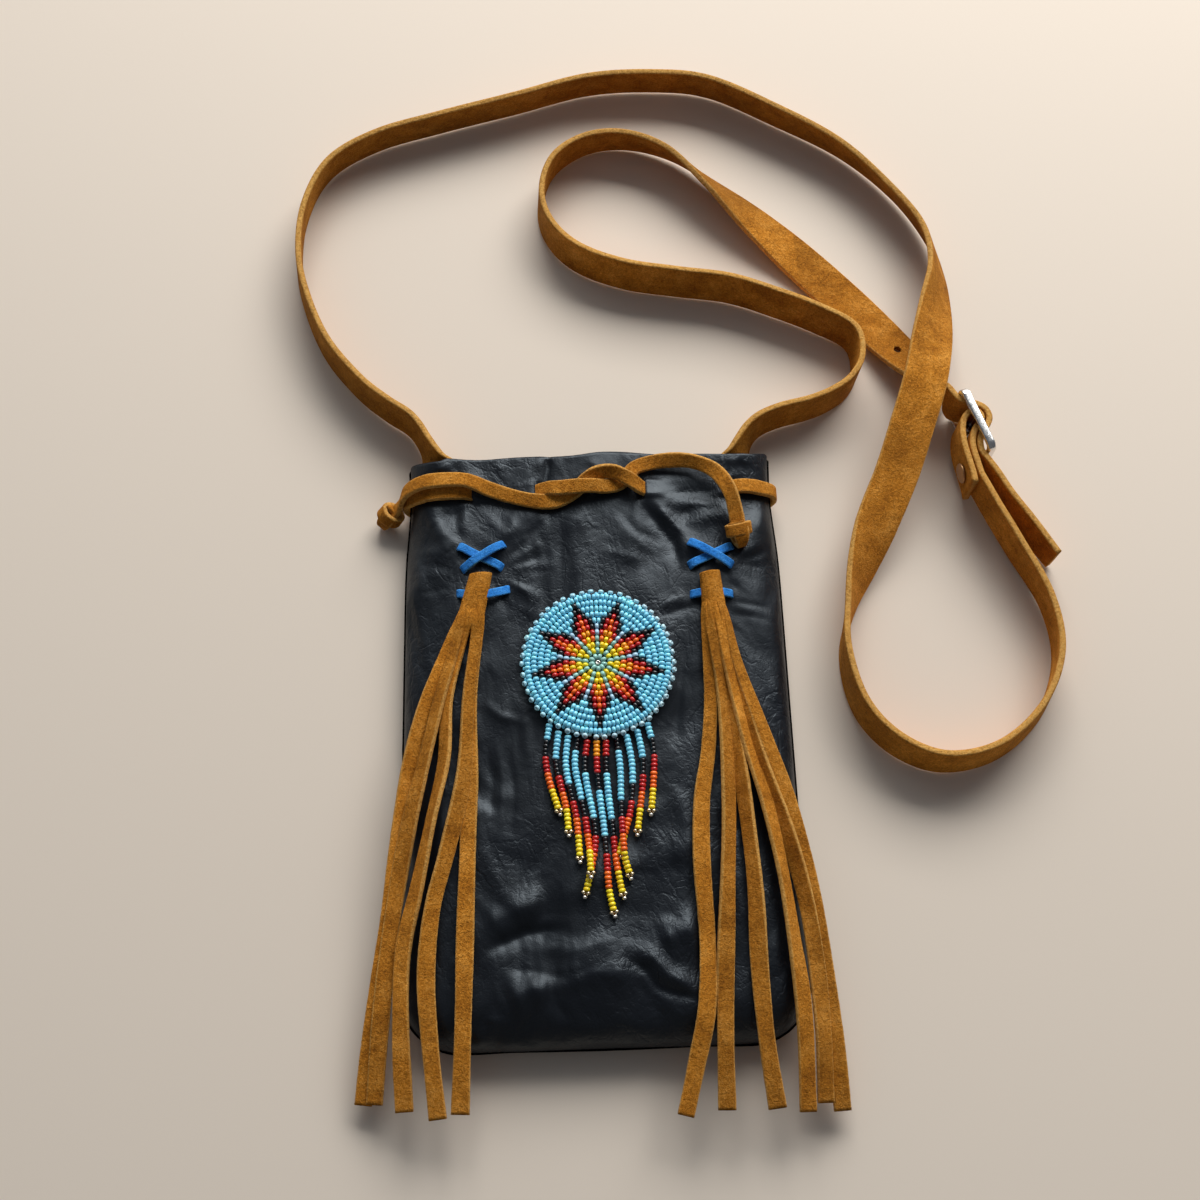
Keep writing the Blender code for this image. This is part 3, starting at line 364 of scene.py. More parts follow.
def strip_section(width, thick, corner, across=6, round_steps=3):
    """Rounded flat section as (across, deep, edge) corners."""
    half, deep = width / 2, thick / 2
    points = []
    corners = [(half - corner, deep - corner, 0), (-half + corner, deep - corner, 90),
               (-half + corner, -deep + corner, 180), (half - corner, -deep + corner, 270)]
    for number, (x, y, start) in enumerate(corners):
        for k in range(round_steps + 1):
            turn = radians(start + 90 * k / round_steps)
            spread = abs(cos(turn))
            points.append((x + corner * cos(turn), y + corner * sin(turn), spread))
        if number in (0, 2):
            end = corners[number + 1][0]
            sign = 1 if number == 0 else -1
            for k in range(1, across):
                points.append((x + (end - x) * k / across, sign * deep, 0.0))
    return points


def sweep(frames, section):
    """Wrap a closed section round the frames; returns places, faces and edge marks."""
    verts, faces, marks = [], [], []
    stations = len(frames)
    for row, (centre, side, face) in enumerate(frames):
        ring = section(row) if callable(section) else section
        sides = len(ring)
        for across, deep, mark in ring:
            verts.append(tuple(centre + side * across + face * deep))
            marks.append(mark)
    for row in range(stations - 1):
        base = row * sides
        for k in range(sides):
            after = (k + 1) % sides
            faces.append((base + k, base + after, base + sides + after, base + sides + k))
    for start, order in ((0, -1), ((stations - 1) * sides, 1)):
        middle = len(verts)
        ring = verts[start:start + sides]
        verts.append(tuple(sum(v[axis] for v in ring) / sides for axis in range(3)))
        marks.append(1.0)
        for k in range(sides):
            pair = (start + k, start + (k + 1) % sides)
            faces.append((*pair[::order], middle))
    return verts, faces, marks


def merged(parts):
    """Several lots of places, faces and marks as one."""
    verts, faces, marks = [], [], []
    for more_verts, more_faces, more_marks in parts:
        shift = len(verts)
        verts += more_verts
        faces += [tuple(i + shift for i in face) for face in more_faces]
        marks += more_marks
    return verts, faces, marks


def outward(piece):
    """Turn every face of closed shells outward."""
    bm = bmesh.new()
    bm.from_mesh(piece.data)
    bmesh.ops.recalc_face_normals(bm, faces=bm.faces)
    bm.to_mesh(piece.data)
    bm.free()
    return piece


def cut(piece, tools):
    """Cut closed tools out of a piece."""
    for tool in tools:
        step = piece.modifiers.new("cut", "BOOLEAN")
        step.operation = "DIFFERENCE"
        step.solver = "EXACT"
        step.object = outward(tool)
    depsgraph = bpy.context.evaluated_depsgraph_get()
    mesh = bpy.data.meshes.new_from_object(piece.evaluated_get(depsgraph),
                                           preserve_all_data_layers=True, depsgraph=depsgraph)
    piece.modifiers.clear()
    piece.data = mesh
    for tool in tools:
        bpy.data.objects.remove(tool, do_unlink=True)


def circle(radius, sides):
    """Round section for sweep, with a corner for each side."""
    turns = [2 * pi * k / sides for k in range(sides)]
    return [(radius * cos(turn), radius * sin(turn), 0.0) for turn in turns]


def wider(section, grow):
    """A section with its width, but not its thickness, made grow times as large."""
    return [(across * grow, deep, mark) for across, deep, mark in section]


def square_to(along):
    """A direction square to this one, upright where it can be."""
    guide = UP if abs(along.z) < 0.9 else Vector((1, 0, 0))
    return (guide - guide.dot(along) * along).normalized()


def rod(name, start, end, radius, sides=24):
    """Round bar between two places."""
    along = (end - start).normalized()
    side = square_to(along)
    frames = [(place, side, along.cross(side)) for place in (start, end)]
    return to_object(name, *sweep(frames, circle(radius, sides))[:2], None)


def lathe(profile, sides, place):
    """Places and faces of (radius, height) corners turned about +Z; the first and last are on the axis."""
    inner = profile[1:-1]
    last = len(inner) - 1
    verts = [(0.0, 0.0, profile[0][1]), (0.0, 0.0, profile[-1][1])]
    faces = []
    for k in range(sides):
        turn = 2 * pi * k / sides
        verts += [(r * cos(turn), r * sin(turn), z) for r, z in inner]
        a, b = 2 + k * len(inner), 2 + (k + 1) % sides * len(inner)
        faces += [(a + i, b + i, b + i + 1, a + i + 1) for i in range(last)]
        faces += [(0, b, a), (1, a + last, b + last)]
    return [tuple(place @ Vector(vert)) for vert in verts], faces


# Pouch surfaces

# Columns and rows of each panel's mesh
FRONT_GRID = (187, 252)
BACK_GRID = (61, 90)
# Shares of a panel's rows and of its half width that lie straight before the bend to the seam
STRAIGHT_SHARE = 0.86
FLAT_SHARE = 0.6

# Soft folds of the front: x and y of both ends, half width and height
FRONT_FOLDS = [
    (17, 66, 27, 52, 3.0, 1.0),
    (20, 68, 40, 60, 2.6, 0.7),
    (24, 57, 12, 46, 4.0, -0.6),
    (40, 47, 49, 62, 3.2, 0.8),
    (38, 53, 47, 70, 3.0, -0.7),
    (-38, 55, -46, 66, 3.0, 0.9),
    (-36, 60, -33, 74, 2.8, 0.6),
    (-26, 54, -17, 64, 3.4, 0.7),
    (-40, 44, -49, 30, 4.0, -0.6),
    (-24, 44, -22, 32, 3.5, -0.5),
    (-46, -20, -24, -62, 5.5, 0.7),
    (-30, -14, -6, -66, 6.0, -0.5),
    (2, -56, 20, -72, 5.0, 0.6),
    (26, -30, 44, -62, 6.0, 0.6),
    (46, 20, 47, -30, 4.0, -0.6),
    (-4, 62, 2, 78, 3.6, 0.6),
]


def fold_sum(folds, x, y):
    """Height of a list of folds over places given as numbers or arrays."""
    total = 0.0 * x
    for x0, y0, x1, y1, half_width, height in folds:
        length = hypot(x1 - x0, y1 - y0)
        ax, ay = (x1 - x0) / length, (y1 - y0) / length
        run = ((x - x0) * ax + (y - y0) * ay) / length
        aside = ax * (y - y0) - ay * (x - x0)
        beyond = np.maximum(0.0, np.maximum(-run, run - 1.0)) * length / half_width
        total = total + height * np.exp(-(aside / half_width) ** 2 - beyond ** 2)
    return total


def half_width_at(y, inset):
    """Half the pouch's width, with its rounded lower corners and the tuck at the neck."""
    half = POUCH_WIDTH / 2 - inset
    corner = CORNER_RADIUS - inset
    into_corner = np.maximum(0.0, -POUCH_LENGTH / 2 + CORNER_RADIUS - y)
    drop = corner - np.sqrt(np.maximum(0.0, corner ** 2 - into_corner ** 2))
    return half - drop - NECK_TUCK * np.exp(-((y - LACE_Y) / 14) ** 2)


def back_lift(y):
    """How far the back rises over the lace that runs behind it."""
    return (LACE_THICK + 2 * GAP) * np.exp(-((y - LACE_Y) / 6.5) ** 4)


def front_top(x, y):
    """Height of the front's outside over a place on the table."""
    half = half_width_at(y, 0)
    edge = max(0.0, abs(x) - (half - FRONT_ROUND)) / FRONT_ROUND
    bend_y = -POUCH_LENGTH / 2 + FRONT_BOTTOM_ROUND
    end = max(0.0, bend_y - y) / FRONT_BOTTOM_ROUND
    full = sqrt(max(0.0, 1 - edge ** 2)) * sqrt(max(0.0, 1 - end ** 2))
    seam = SEAM_HEIGHT + GAP / 2
    return float(seam + (POUCH_HEIGHT - seam + fold_sum(FRONT_FOLDS, x, y)) * full)


def panel_places(q, p, inset, reach_x, reach_y):
    """Grid places of a panel and how full its section is there."""
    top, bend_y = POUCH_LENGTH / 2, reach_y - POUCH_LENGTH / 2
    turn = np.clip((p - STRAIGHT_SHARE) / (1 - STRAIGHT_SHARE), 0.0, 1.0) * pi / 2
    y = np.where(p <= STRAIGHT_SHARE, top + (bend_y - top) * p / STRAIGHT_SHARE,
                 bend_y - (reach_y - inset) * np.sin(turn))
    half = half_width_at(y, inset)
    reach = reach_x - inset
    lean = np.clip((np.abs(q) - FLAT_SHARE) / (1 - FLAT_SHARE), 0.0, 1.0) * pi / 2
    x = np.where(np.abs(q) <= FLAT_SHARE, q / FLAT_SHARE * (half - reach),
                 np.sign(q) * (half - reach + reach * np.sin(lean)))
    return x, y, np.cos(lean) * np.cos(turn)


# Creases that only the looks have: half width, height, then x and y along the line of each
CREASES = [
    (4, 1.3, -44.6, 83, -42.4, 78, -41, 74), (4, 1.4, 44.2, 83, 42.4, 78, 41, 74),
    (1.5, -0.56, -37.6, 65.9, -37.4, 60.4, -36.9, 54.8), (1.6, 0.37, -35.5, 64.6, -35.5, 60.3, -35.5, 56.1),
    (2.4, 0.8, -46.5, 64.1, -42.1, 57.1, -38, 49.8), (1.6, -0.37, -42.5, 63.9, -39.8, 58.7, -38.2, 54.4),
    (1.4, 0.31, -28.4, 62.6, -25.3, 58.3, -23.8, 55.7),
    (1.3, 0.31, -25.6, 64.3, -22.5, 61.6, -21.8, 59, -23.8, 56.1),
    (0.9, -0.22, -23.6, 49.4, -19.5, 53.9, -15.1, 58), (0.9, 0.22, -23.6, 48.1, -18.3, 51.7, -13.6, 54.5),
    (0.9, -0.22, -23.8, 47.3, -17.6, 49.2, -12.9, 51.1), (0.9, 0.19, -23.8, 46.7, -16.8, 47.5, -10.2, 47.7),
    (0.8, -0.19, -20.6, 56, -16.3, 58, -11.9, 61.3), (2, 0.8, -26.9, 46.1, -22.7, 42.7, -16.2, 38.4),
    (1.4, -0.37, -28.5, 44.9, -25.8, 39.9, -23.9, 34.9),
    (1.2, -0.31, -23.9, 44.8, -19.6, 42.6, -15.4, 40.8), (1.5, 0.25, -21.6, 36.9, -16.3, 33.1),
    (1, -0.22, -48.3, 49.7, -43.2, 48.7, -38.2, 46.9), (1, 0.22, -48.6, 46.8, -43.2, 45.8, -37.8, 45.2),
    (1, -0.22, -48.9, 41.5, -44.7, 41.3, -39.3, 42), (1, 0.22, -49.3, 39, -44.7, 39.3, -39.7, 40.3),
    (1.6, 0.31, -49.9, 53.1, -46, 53.4, -42.5, 52.1), (1.1, 0.59, 18.8, 63.7, 22.1, 59.8, 25.8, 55.8),
    (2, -1.1, 14.5, 65.6, 18.2, 60.3, 23, 53.4, 24.2, 45.8),
    (1.3, 0.37, 25.5, 55.8, 25.2, 51.6, 25.3, 45.8), (2.2, 0.7, 17.9, 70.7, 25.1, 72.2, 34.6, 71.4),
    (1.2, -0.31, 18.5, 67.6, 26.5, 68.6, 36.4, 68.8), (1.6, 0.37, 19.2, 65.4, 27.9, 65.6, 36.2, 65.3),
    (1.2, -0.31, 23.8, 61.8, 30.2, 63.4, 36.5, 63.2), (1.4, 0.31, 24.4, 58.8, 30, 59.9, 37.1, 60.6),
    (1, -0.5, 40.6, 47.4, 45.3, 48.9, 49.4, 51.7), (1.3, 0.37, 41.1, 49.4, 45.1, 51.4, 48.8, 53.8),
    (0.9, -0.31, 39.3, 45.7, 43.2, 46.4, 47.9, 46.1), (1.6, 0.43, 38.7, 42, 44.4, 40.6, 50.8, 38.3),
    (1.4, -0.31, 36.9, 45.4, 37.5, 41.2, 40.4, 38.7), (0.9, -0.25, 38.3, 35.4, 43.2, 34.5, 49.3, 33.9),
    (0.9, 0.25, 37.8, 33.8, 43.1, 32.8, 49.5, 31.8), (0.9, -0.22, 38.4, 31.8, 43.7, 31.2, 49.4, 30.2),
    (1.6, 0.37, 18.6, 35.2, 23.3, 36.3, 26.8, 36.6), (1.3, -0.37, 17.7, 31.6, 23.1, 33.5, 28.6, 34.9),
    (1.4, 0.31, 3.8, 51.4, 9.2, 49.6, 13.8, 49), (1.3, -0.25, 8.9, 62.3, 12.6, 57.1, 18.7, 54.3),
    (1.2, 0.22, 10.2, 57.2, 15.1, 51.9, 17.8, 50.2), (1.2, 0.37, 46.3, 56.9, 48, 59.4, 49.1, 62.8),
    (4.9, 2.36, -32.2, -51.7, -22.3, -46.8, -5.2, -41, 7.3, -36.1, 23.5, -31.9),
    (2, -1.25, -29.9, -56.3, -19.4, -52.1, -11.3, -51.5), (2.2, -0.75, -0.6, -43.5, 10.2, -38, 22.6, -36.6),
    (4.6, 2.36, -24.8, -68.7, -18.5, -66.1, -13.3, -67.1),
    (1.6, -0.6, -12.7, -65.8, -12.3, -70.2, -9.5, -74.1),
    (5.7, 2.71, -11.6, -64.7, -4.1, -62.4, 8.5, -64.2),
    (1.3, -0.9, 5.6, -59.4, 10.3, -62.6, 12.7, -66.6, 17.5, -68.4, 23.2, -69.7),
    (2.7, 1.81, 7.7, -56.9, 12.2, -59.8, 16, -63.9, 22.2, -66.9),
    (4.9, 2.17, 14.1, -55.4, 20, -53.3, 24.1, -52.3), (1.6, 0.5, -32.2, -72.3, -25.4, -74.2),
    (1.4, -0.45, -24.2, -61, -17.3, -62.3, -9.3, -63.7, -1.1, -60.6),
    (2.7, 0.81, -17.2, -56.7, -6.8, -57, 2.6, -54.5), (1.2, -0.4, 7.9, -65.3, 11.7, -69.9, 13.3, -73.2),
    (2.4, 0.62, 29.2, -54.7, 34.4, -56, 36.4, -60.6), (2.6, 0.6, 42.3, -50, 47, -50.1, 47.8, -55.3),
    (2, -0.5, 41.1, -67.5, 44.9, -63.1, 46.9, -58.7), (0.8, -0.35, -29.6, -2.4, -28.1, -12.7, -28.7, -23.3),
    (0.8, 0.35, -27, -2, -25.5, -11.5, -26.1, -23.9), (0.8, -0.35, -23.8, -4.8, -22.4, -15.6, -23.5, -26),
    (1.4, 0.45, -31.2, 9.2, -25.9, 4.6, -20.6, 3.3), (1.4, 0.5, 28.5, 24.2, 25.6, 10.1, 23.3, -3.6),
    (1.4, -0.5, 25.9, 27.1, 22.5, 13, 20.6, -3.5), (2, 0.5, 16, -11.4, 20.9, -19.6, 22.9, -30.1),
    (1.1, -1.2, -11.4, 80, -12, 76.2, -12.7, 71.3), (1.3, 0.5, -13.7, 80, -14.6, 76.3, -15.2, 72.6),
    (1, -0.9, 42.9, 78.3, 42.9, 74.5, 43, 71.4), (1, 0.5, 44.6, 78.2, 44.6, 74.4, 44.7, 71.3),
    (1, -0.7, 39.1, 77.7, 39.1, 73.1), (1.2, -0.6, -38.1, 79.2, -37.2, 74.5),
    (1.4, 0.5, -25.3, 79.1, -24.5, 73.5), (1.2, 0.45, 0.2, 78.3, 3, 75.8),
]


def crease_sum(x, y):
    total = 0.0 * x
    for half_width, height, *spots in CREASES:
        points = list(zip(spots[::2], spots[1::2]))
        lines = list(zip(points, points[1:]))
        length = sum(dist(a, b) for a, b in lines)
        nearest = np.full(np.shape(x), np.inf)
        share = 0.0 * x
        run = 0.0
        for (x0, y0), (x1, y1) in lines:
            step = hypot(x1 - x0, y1 - y0)
            along = np.clip(((x - x0) * (x1 - x0) + (y - y0) * (y1 - y0)) / step ** 2, 0.0, 1.0)
            away = np.hypot(x - x0 - along * (x1 - x0), y - y0 - along * (y1 - y0))
            share = np.where(away < nearest, (run + along * step) / length, share)
            nearest = np.minimum(nearest, away)
            run += step
        fade = np.clip(0.35 + 3.0 * np.minimum(share, 1.0 - share), 0.0, 1.0)
        total = total + height * fade * np.exp(-(nearest / half_width) ** 1.6)
    return total


# Where other pieces lie on the leather: ends in x, ends in y and width of the soft border
CROWDED = [(-62, -31, -99, 44, 3.0), (25, 62, -99, 42, 3.0), (-39, -23, 37, 54, 3.0),
           (26, 39, 37, 53, 3.0), (-60, 60, 66, 76, 2.0), (-15, 17, -48, 0, 3.0)]


def crowded(x, y):
    """How closely other pieces lie on the leather here, from 0 to 1."""
    most = 0.0 * x
    for x0, x1, y0, y1, border in CROWDED:
        inside = np.minimum(np.minimum(x - x0, x1 - x), np.minimum(y - y0, y1 - y))
        most = np.maximum(most, np.clip(inside / border + 1.0, 0.0, 1.0))
    return most


def slit_step(x, y):
    """The leather rises over the lace on one side of each slit and sinks under it on the other."""
    total = 0.0 * x
    window = np.clip((3.3 - np.abs(y - LACE_Y)) / 0.9, 0.0, 1.0)
    for number, slit in enumerate(SLIT_X):
        off = (x - slit) * (-1) ** number
        rise = np.where(off > 0, 0.95 * np.exp(-(off / 4.0) ** 2), -0.75 * np.exp(-(off / 3.0) ** 2))
        total = total + rise * window
    return total


def front_detail(x, y):
    """Extra height of the looks over the plain front, as arrays."""
    rosette = np.clip((np.hypot(x - ROSETTE_X, y - ROSETTE_Y) - 18.5) / 4.0, 0.0, 1.0)
    extra = crease_sum(x, y) * rosette
    return np.where(extra > 0, extra * (1.0 - 0.72 * crowded(x, y)), extra)


def grid_faces(rows, columns, shift=0):
    corners = [shift + r * columns + c for r in range(rows - 1) for c in range(columns - 1)]
    return [(a, a + 1, a + columns + 1, a + columns) for a in corners]


def rim(rows, columns):
    """Grid indices round the rim, in order."""
    top = [(0, c) for c in range(columns - 1)]
    right = [(r, columns - 1) for r in range(rows - 1)]
    low = [(rows - 1, c) for c in range(columns - 1, 0, -1)]
    left = [(r, 0) for r in range(rows - 1, 0, -1)]
    return [r * columns + c for r, c in top + right + low + left]


def lip_wave(x):
    """How far the mouth's edge stands off a straight line."""
    wave = 0.5 * np.sin(x / 9.0 + 0.6) + 0.3 * np.sin(x / 4.1) + 0.8 * np.exp(-((x + 8) / 26) ** 2)
    flap = 1.3 / (1 + np.exp((x + 41.6) / 0.5))
    corners = 1.9 * np.clip((np.abs(x) - 42) / 9, 0.0, 1.0) ** 1.5
    return wave - flap + corners


def shell(name, height, grid, reach_x, reach_y, material):
    """Outer and inner layer of one panel, joined along the rim."""
    columns, rows = grid
    bend_rows = rows // 8
    p = np.concatenate([np.linspace(0.0, STRAIGHT_SHARE, rows - bend_rows)[:-1],
                        np.linspace(STRAIGHT_SHARE, 1.0, bend_rows + 1)])
    q, p = np.meshgrid(np.linspace(-1.0, 1.0, columns), p)
    verts = []
    for inset in (0.0, LEATHER):
        x, y, full = panel_places(q, p, inset, reach_x, reach_y)
        z = height(x, y, full, inset)
        y = y + lip_wave(x) * np.clip((y - POUCH_LENGTH / 2 + 6) / 6, 0.0, 1.0) ** 2
        verts += [tuple(v) for v in np.stack([x.ravel(), y.ravel(), z.ravel()], axis=1)]
    layer = rows * columns
    faces = grid_faces(rows, columns) + [face[::-1] for face in grid_faces(rows, columns, layer)]
    loop = rim(rows, columns)
    for k, a in enumerate(loop):
        outer, inner = Vector(verts[a]), Vector(verts[a + layer])
        out = Vector((outer.x - inner.x, outer.y - inner.y, 0)).normalized()
        at_mouth = a < columns
        verts.append(tuple((outer + inner) / 2 + (Vector((0, 0.15, 0)) if at_mouth else out * 1.15)))
        after = (k + 1) % len(loop)
        b, middle, next_middle = loop[after], 2 * layer + k, 2 * layer + after
        faces += [(a, middle, next_middle, b), (middle, a + layer, b + layer, next_middle)]
    marks = [0.0] * (2 * layer) + [1.0] * len(loop)
    return outward(to_object(name, verts, faces, material, marks))


def front_height(x, y, full, inset):
    seam = SEAM_HEIGHT + GAP / 2
    extra = fold_sum(FRONT_FOLDS, x, y) + front_detail(x, y)
    return seam + (POUCH_HEIGHT - inset - seam) * full + (extra + slit_step(x, y)) * full


def back_height(x, y, full, inset):
    seam = SEAM_HEIGHT - GAP / 2
    return seam - (seam - inset - back_lift(y)) * full


# Drawstring and blue laces

def drawstring_points():
    """The lace's route from the left knot through the slits and round the neck to the right knot."""
    rest = GAP + LACE_THICK / 2
    behind = LACE_THICK / 2 + GAP / 2
    side_x = float(half_width_at(LACE_Y, 0)) + rest + GAP
    y = LACE_Y
    left_in, left_out, right_out, right_in = SLIT_X
    flat = (0, 1, 0)

    def over(*rows):
        """Rows of x, y and lift off the front, and the way the width points where it isn't flat."""
        return [(x, at_y, front_top(x, at_y) + rest + lift, *(width or flat))
                for x, at_y, lift, *width in rows]

    def in_slit(x, height):
        return (x, y, front_top(x, y) + height, *flat)

    def inside(x):
        return in_slit(x, -LEATHER - rest - GAP)

    return [
        (-57.3, 67.7, 4.6, 0.3, 0.9, 0.2), (-54.6, 69, 7.2, 0.3, 0.9, 0.2),
        (-51.9, 71.7, 12, 0.2, 1, 0.1),
        *over((-47, 72.8, 3.6), (-41, 73, 2.6), (-34.6, 72.4, 2.2), (-28.6, 70.4, 0.9, 0, 1, 0.3),
              (-22.4, 68.2, 0.5, 0, 1, 0.3), (-15.6, 66.4, 0.3, 0, 1, 0.3), (-9.6, 66.5, 0.1, 0, 1, 0.1),
              (-4.6, 69, 0, -0.2, 1, 0), (-1.2, 72.2, 0.3, -0.2, 1, 0.3), (2.4, 74, 1.5, 0, 0.8, 0.9),
              (6.6, 73.9, 2.6, 0.3, 0.8, 0.7), (10.6, 71.8, 2.7, 0.4, 1, 0.3)),
        in_slit(right_out - 1.2, 0.9), in_slit(right_out + 1.6, -1.5), inside(right_out + 5.4),
        inside(27), inside(right_in - 5.2), in_slit(right_in - 1.5, -1.5), in_slit(right_in + 1.3, 0.3),
        *over((right_in + 4.6, y, 0.5), (right_in + 8.4, y, 0.8)),
        (side_x - 0.6, y, 8.4, *flat), (side_x, y, SEAM_HEIGHT, *flat),
        (side_x - 2, y, behind + 0.5, *flat), (side_x - 6, y, behind, *flat), (0, y, behind, *flat),
        (6 - side_x, y, behind, *flat), (2 - side_x, y, behind + 0.5, *flat),
        (-side_x, y, SEAM_HEIGHT, *flat), (0.6 - side_x, y, 8.6, *flat),
        *over((-46.6, y, 0.9), (-42.6, y, 0.4), (left_in - 4.8, y, 0.2)),
        in_slit(left_in - 1.4, 0.3), in_slit(left_in + 1.4, -1.5), inside(left_in + 5.2),
        inside(left_out - 5.2), in_slit(left_out - 1.6, -1.5), in_slit(left_out + 1.4, 0.7),
        *over((-11.4, 69.8, 1.5), (-8, 69.5, 2.3, 0, 1, 0.1), (-3.6, 69.6, 2.5, 0, 1, 0.2),
              (0.4, 69.9, 1.9, 0, 1, 0.25), (4, 70.2, 0.8, 0, 1, 0.1), (7.4, 71, 0.2, -0.2, 1, 0),
              (10.2, 73, 0, -0.4, 1, 0), (12.8, 76, 0, -0.5, 1, 0), (17, 77.2, 0.5, -0.3, 1, 0.3),
              (22.5, 77.6, 1.2, -0.1, 1, 0.6), (29, 76.8, 1.8, 0.3, 1, 0.8),
              (35, 73, 3.4, 0.8, 0.7, 0.6), (38.6, 66.5, 5, 1, 0.2, 0.5),
              (40.2, 60, 3.4, 1, 0.1, 0.3), (40.8, 55.5, 2.6, 1, 0.1, 0.2)),
    ]


def knot_parts(centre, along, normal):
    """An overhand knot pulled tight: a band round the lace and a lobe folded over below it."""
    across = along.cross(normal).normalized()
    band = []
    for k in range(41):
        turn = radians(-115 + 430 * k / 40)
        slant = 0.55 * sin(turn + 0.6) + 0.5 * (k / 40 - 0.5)
        reach = 2.8 + 0.25 * k / 40
        band.append((centre + across * reach * cos(turn) + normal * (reach * 0.82) * sin(turn)
                     + along * slant, along + across * 0.18 * sin(turn)))
    lobe = []
    middle = centre + along * 1.4
    for k in range(37):
        turn = radians(-200 + 330 * k / 36)
        lobe.append((middle + along * 2.9 * cos(turn) + normal * 2.05 * sin(turn)
                     + across * (0.5 - 0.9 * k / 36), across + along * 0.14))
    wrap = strip_section(LACE_WIDTH * 0.84, LACE_THICK, 0.5, 4, 3)
    plain = strip_section(LACE_WIDTH * 1.06, LACE_THICK, 0.5, 4, 3)

    def fold(row):
        turn = radians(-200 + 330 * row / 36)
        narrow = 1 - 0.42 * max(0.0, cos(turn)) ** 2
        return [(a * narrow, d * (1.25 - 0.25 * narrow), m) for a, d, m in plain]

    return [sweep(strip_frames([p for p, w in band], [w for p, w in band]), wrap),
            sweep(strip_frames([p for p, w in lobe], [w for p, w in lobe]), fold)]


def make_drawstring(material):
    rows = even_rows(smooth_route(drawstring_points(), 10), 0.8)
    rnd = random.Random(4)
    section = strip_section(LACE_WIDTH, LACE_THICK, 0.5, 6, 3)

    def ring(row):
        return wider(section, 1 + 0.03 * sin(row * 0.31) + 0.015 * rnd.uniform(-1, 1))

    parts = [sweep(turned_frames(rows), ring)]
    path = [Vector(row[:3]) for row in rows]
    ends = ((path[0], path[7], Vector((0.1, -0.2, 1))), (path[-1], path[-8], Vector((0, -0.2, 1))))
    for centre, other, normal in ends:
        along = (centre - other).normalized()
        normal = (normal - normal.dot(along) * along).normalized()
        parts += knot_parts(centre, along, normal)
        tail = [centre + along * k * 0.9 for k in range(1, 5)]
        path = tail[::-1] + path if centre == path[0] else path + tail
    verts, faces, marks = merged(parts)
    tones = [LACE_TONE] * len(verts)
    return outward(to_object("drawstring_lace", verts, faces, material, marks, tones)), in_metres(path)


# Ends of the first and second diagonal and of the bar, for the left and right lace
CROSS_ENDS = {
    -1: [((-36.8, 53.6), (-25.2, 47.3)), ((-24.6, 53.9), (-35.9, 47.0)), ((-37.2, 40.0), (-23.4, 40.9))],
    1: [((38.9, 51.8), (27.0, 46.3)), ((27.2, 53.0), (38.4, 46.0)), ((27.0, 37.7), (38.0, 37.5))],
}


def run_spot(run, share, height, width):
    start, end = Vector(run[0]), Vector(run[1])
    place = start.lerp(end, share)
    return (place.x, place.y, front_top(place.x, place.y) + height, *width)


def visible_run(run, lift, sag):
    rest = GAP + CROSS_THICK / 2
    along = (Vector(run[1]) - Vector(run[0])).normalized()
    width = (-along.y, along.x, 0)
    spots = [(0.0, -LEATHER - 1.3), (0.0, 0.1), (0.1, rest + 0.35), (0.28, rest + lift * 0.8 + 0.1),
             (0.5, rest + lift), (0.72, rest + lift * 0.8 + 0.1), (0.9, rest + 0.35), (1.0, 0.1),
             (1.0, -LEATHER - 1.3)]
    rows = [run_spot(run, share, height, width) for share, height in spots]
    drops = [sag * sin(pi * share) for share, height in spots]
    return [(row[0], row[1] - drop, *row[2:]) for row, drop in zip(rows, drops)]


def cross_route(side):
    lifts = (0.15, CROSS_THICK + GAP + 0.3, (ROLL_THICK - CROSS_THICK) / 2)
    below = LEATHER + GAP + CROSS_THICK / 2 + 1.7
    route = []
    runs = CROSS_ENDS[side]
    for number, run in enumerate(runs):
        if number:
            link = (runs[number - 1][1], run[0])
            along = (Vector(link[1]) - Vector(link[0])).normalized()
            width = (-along.y, along.x, 0)
            route += [run_spot(link, share, -below, width) for share in (0.3, 0.7)]
        route += visible_run(run, lifts[number], 1.8 if side < 0 and number == 2 else 0.0)
    for i in range(1, len(route)):
        before, here = Vector(route[i - 1][3:]), Vector(route[i][3:])
        if before.dot(here) < 0:
            route[i] = (*route[i][:3], *(-here))
    return route


def make_cross_lace(name, side, material):
    rows = even_rows(smooth_route(cross_route(side), 8), 0.35)
    section = strip_section(CROSS_WIDTH, CROSS_THICK, 0.3, 4, 3)
    verts, faces, marks = sweep(turned_frames(rows), section)
    return outward(to_object(name, verts, faces, material, marks))


# Tassels

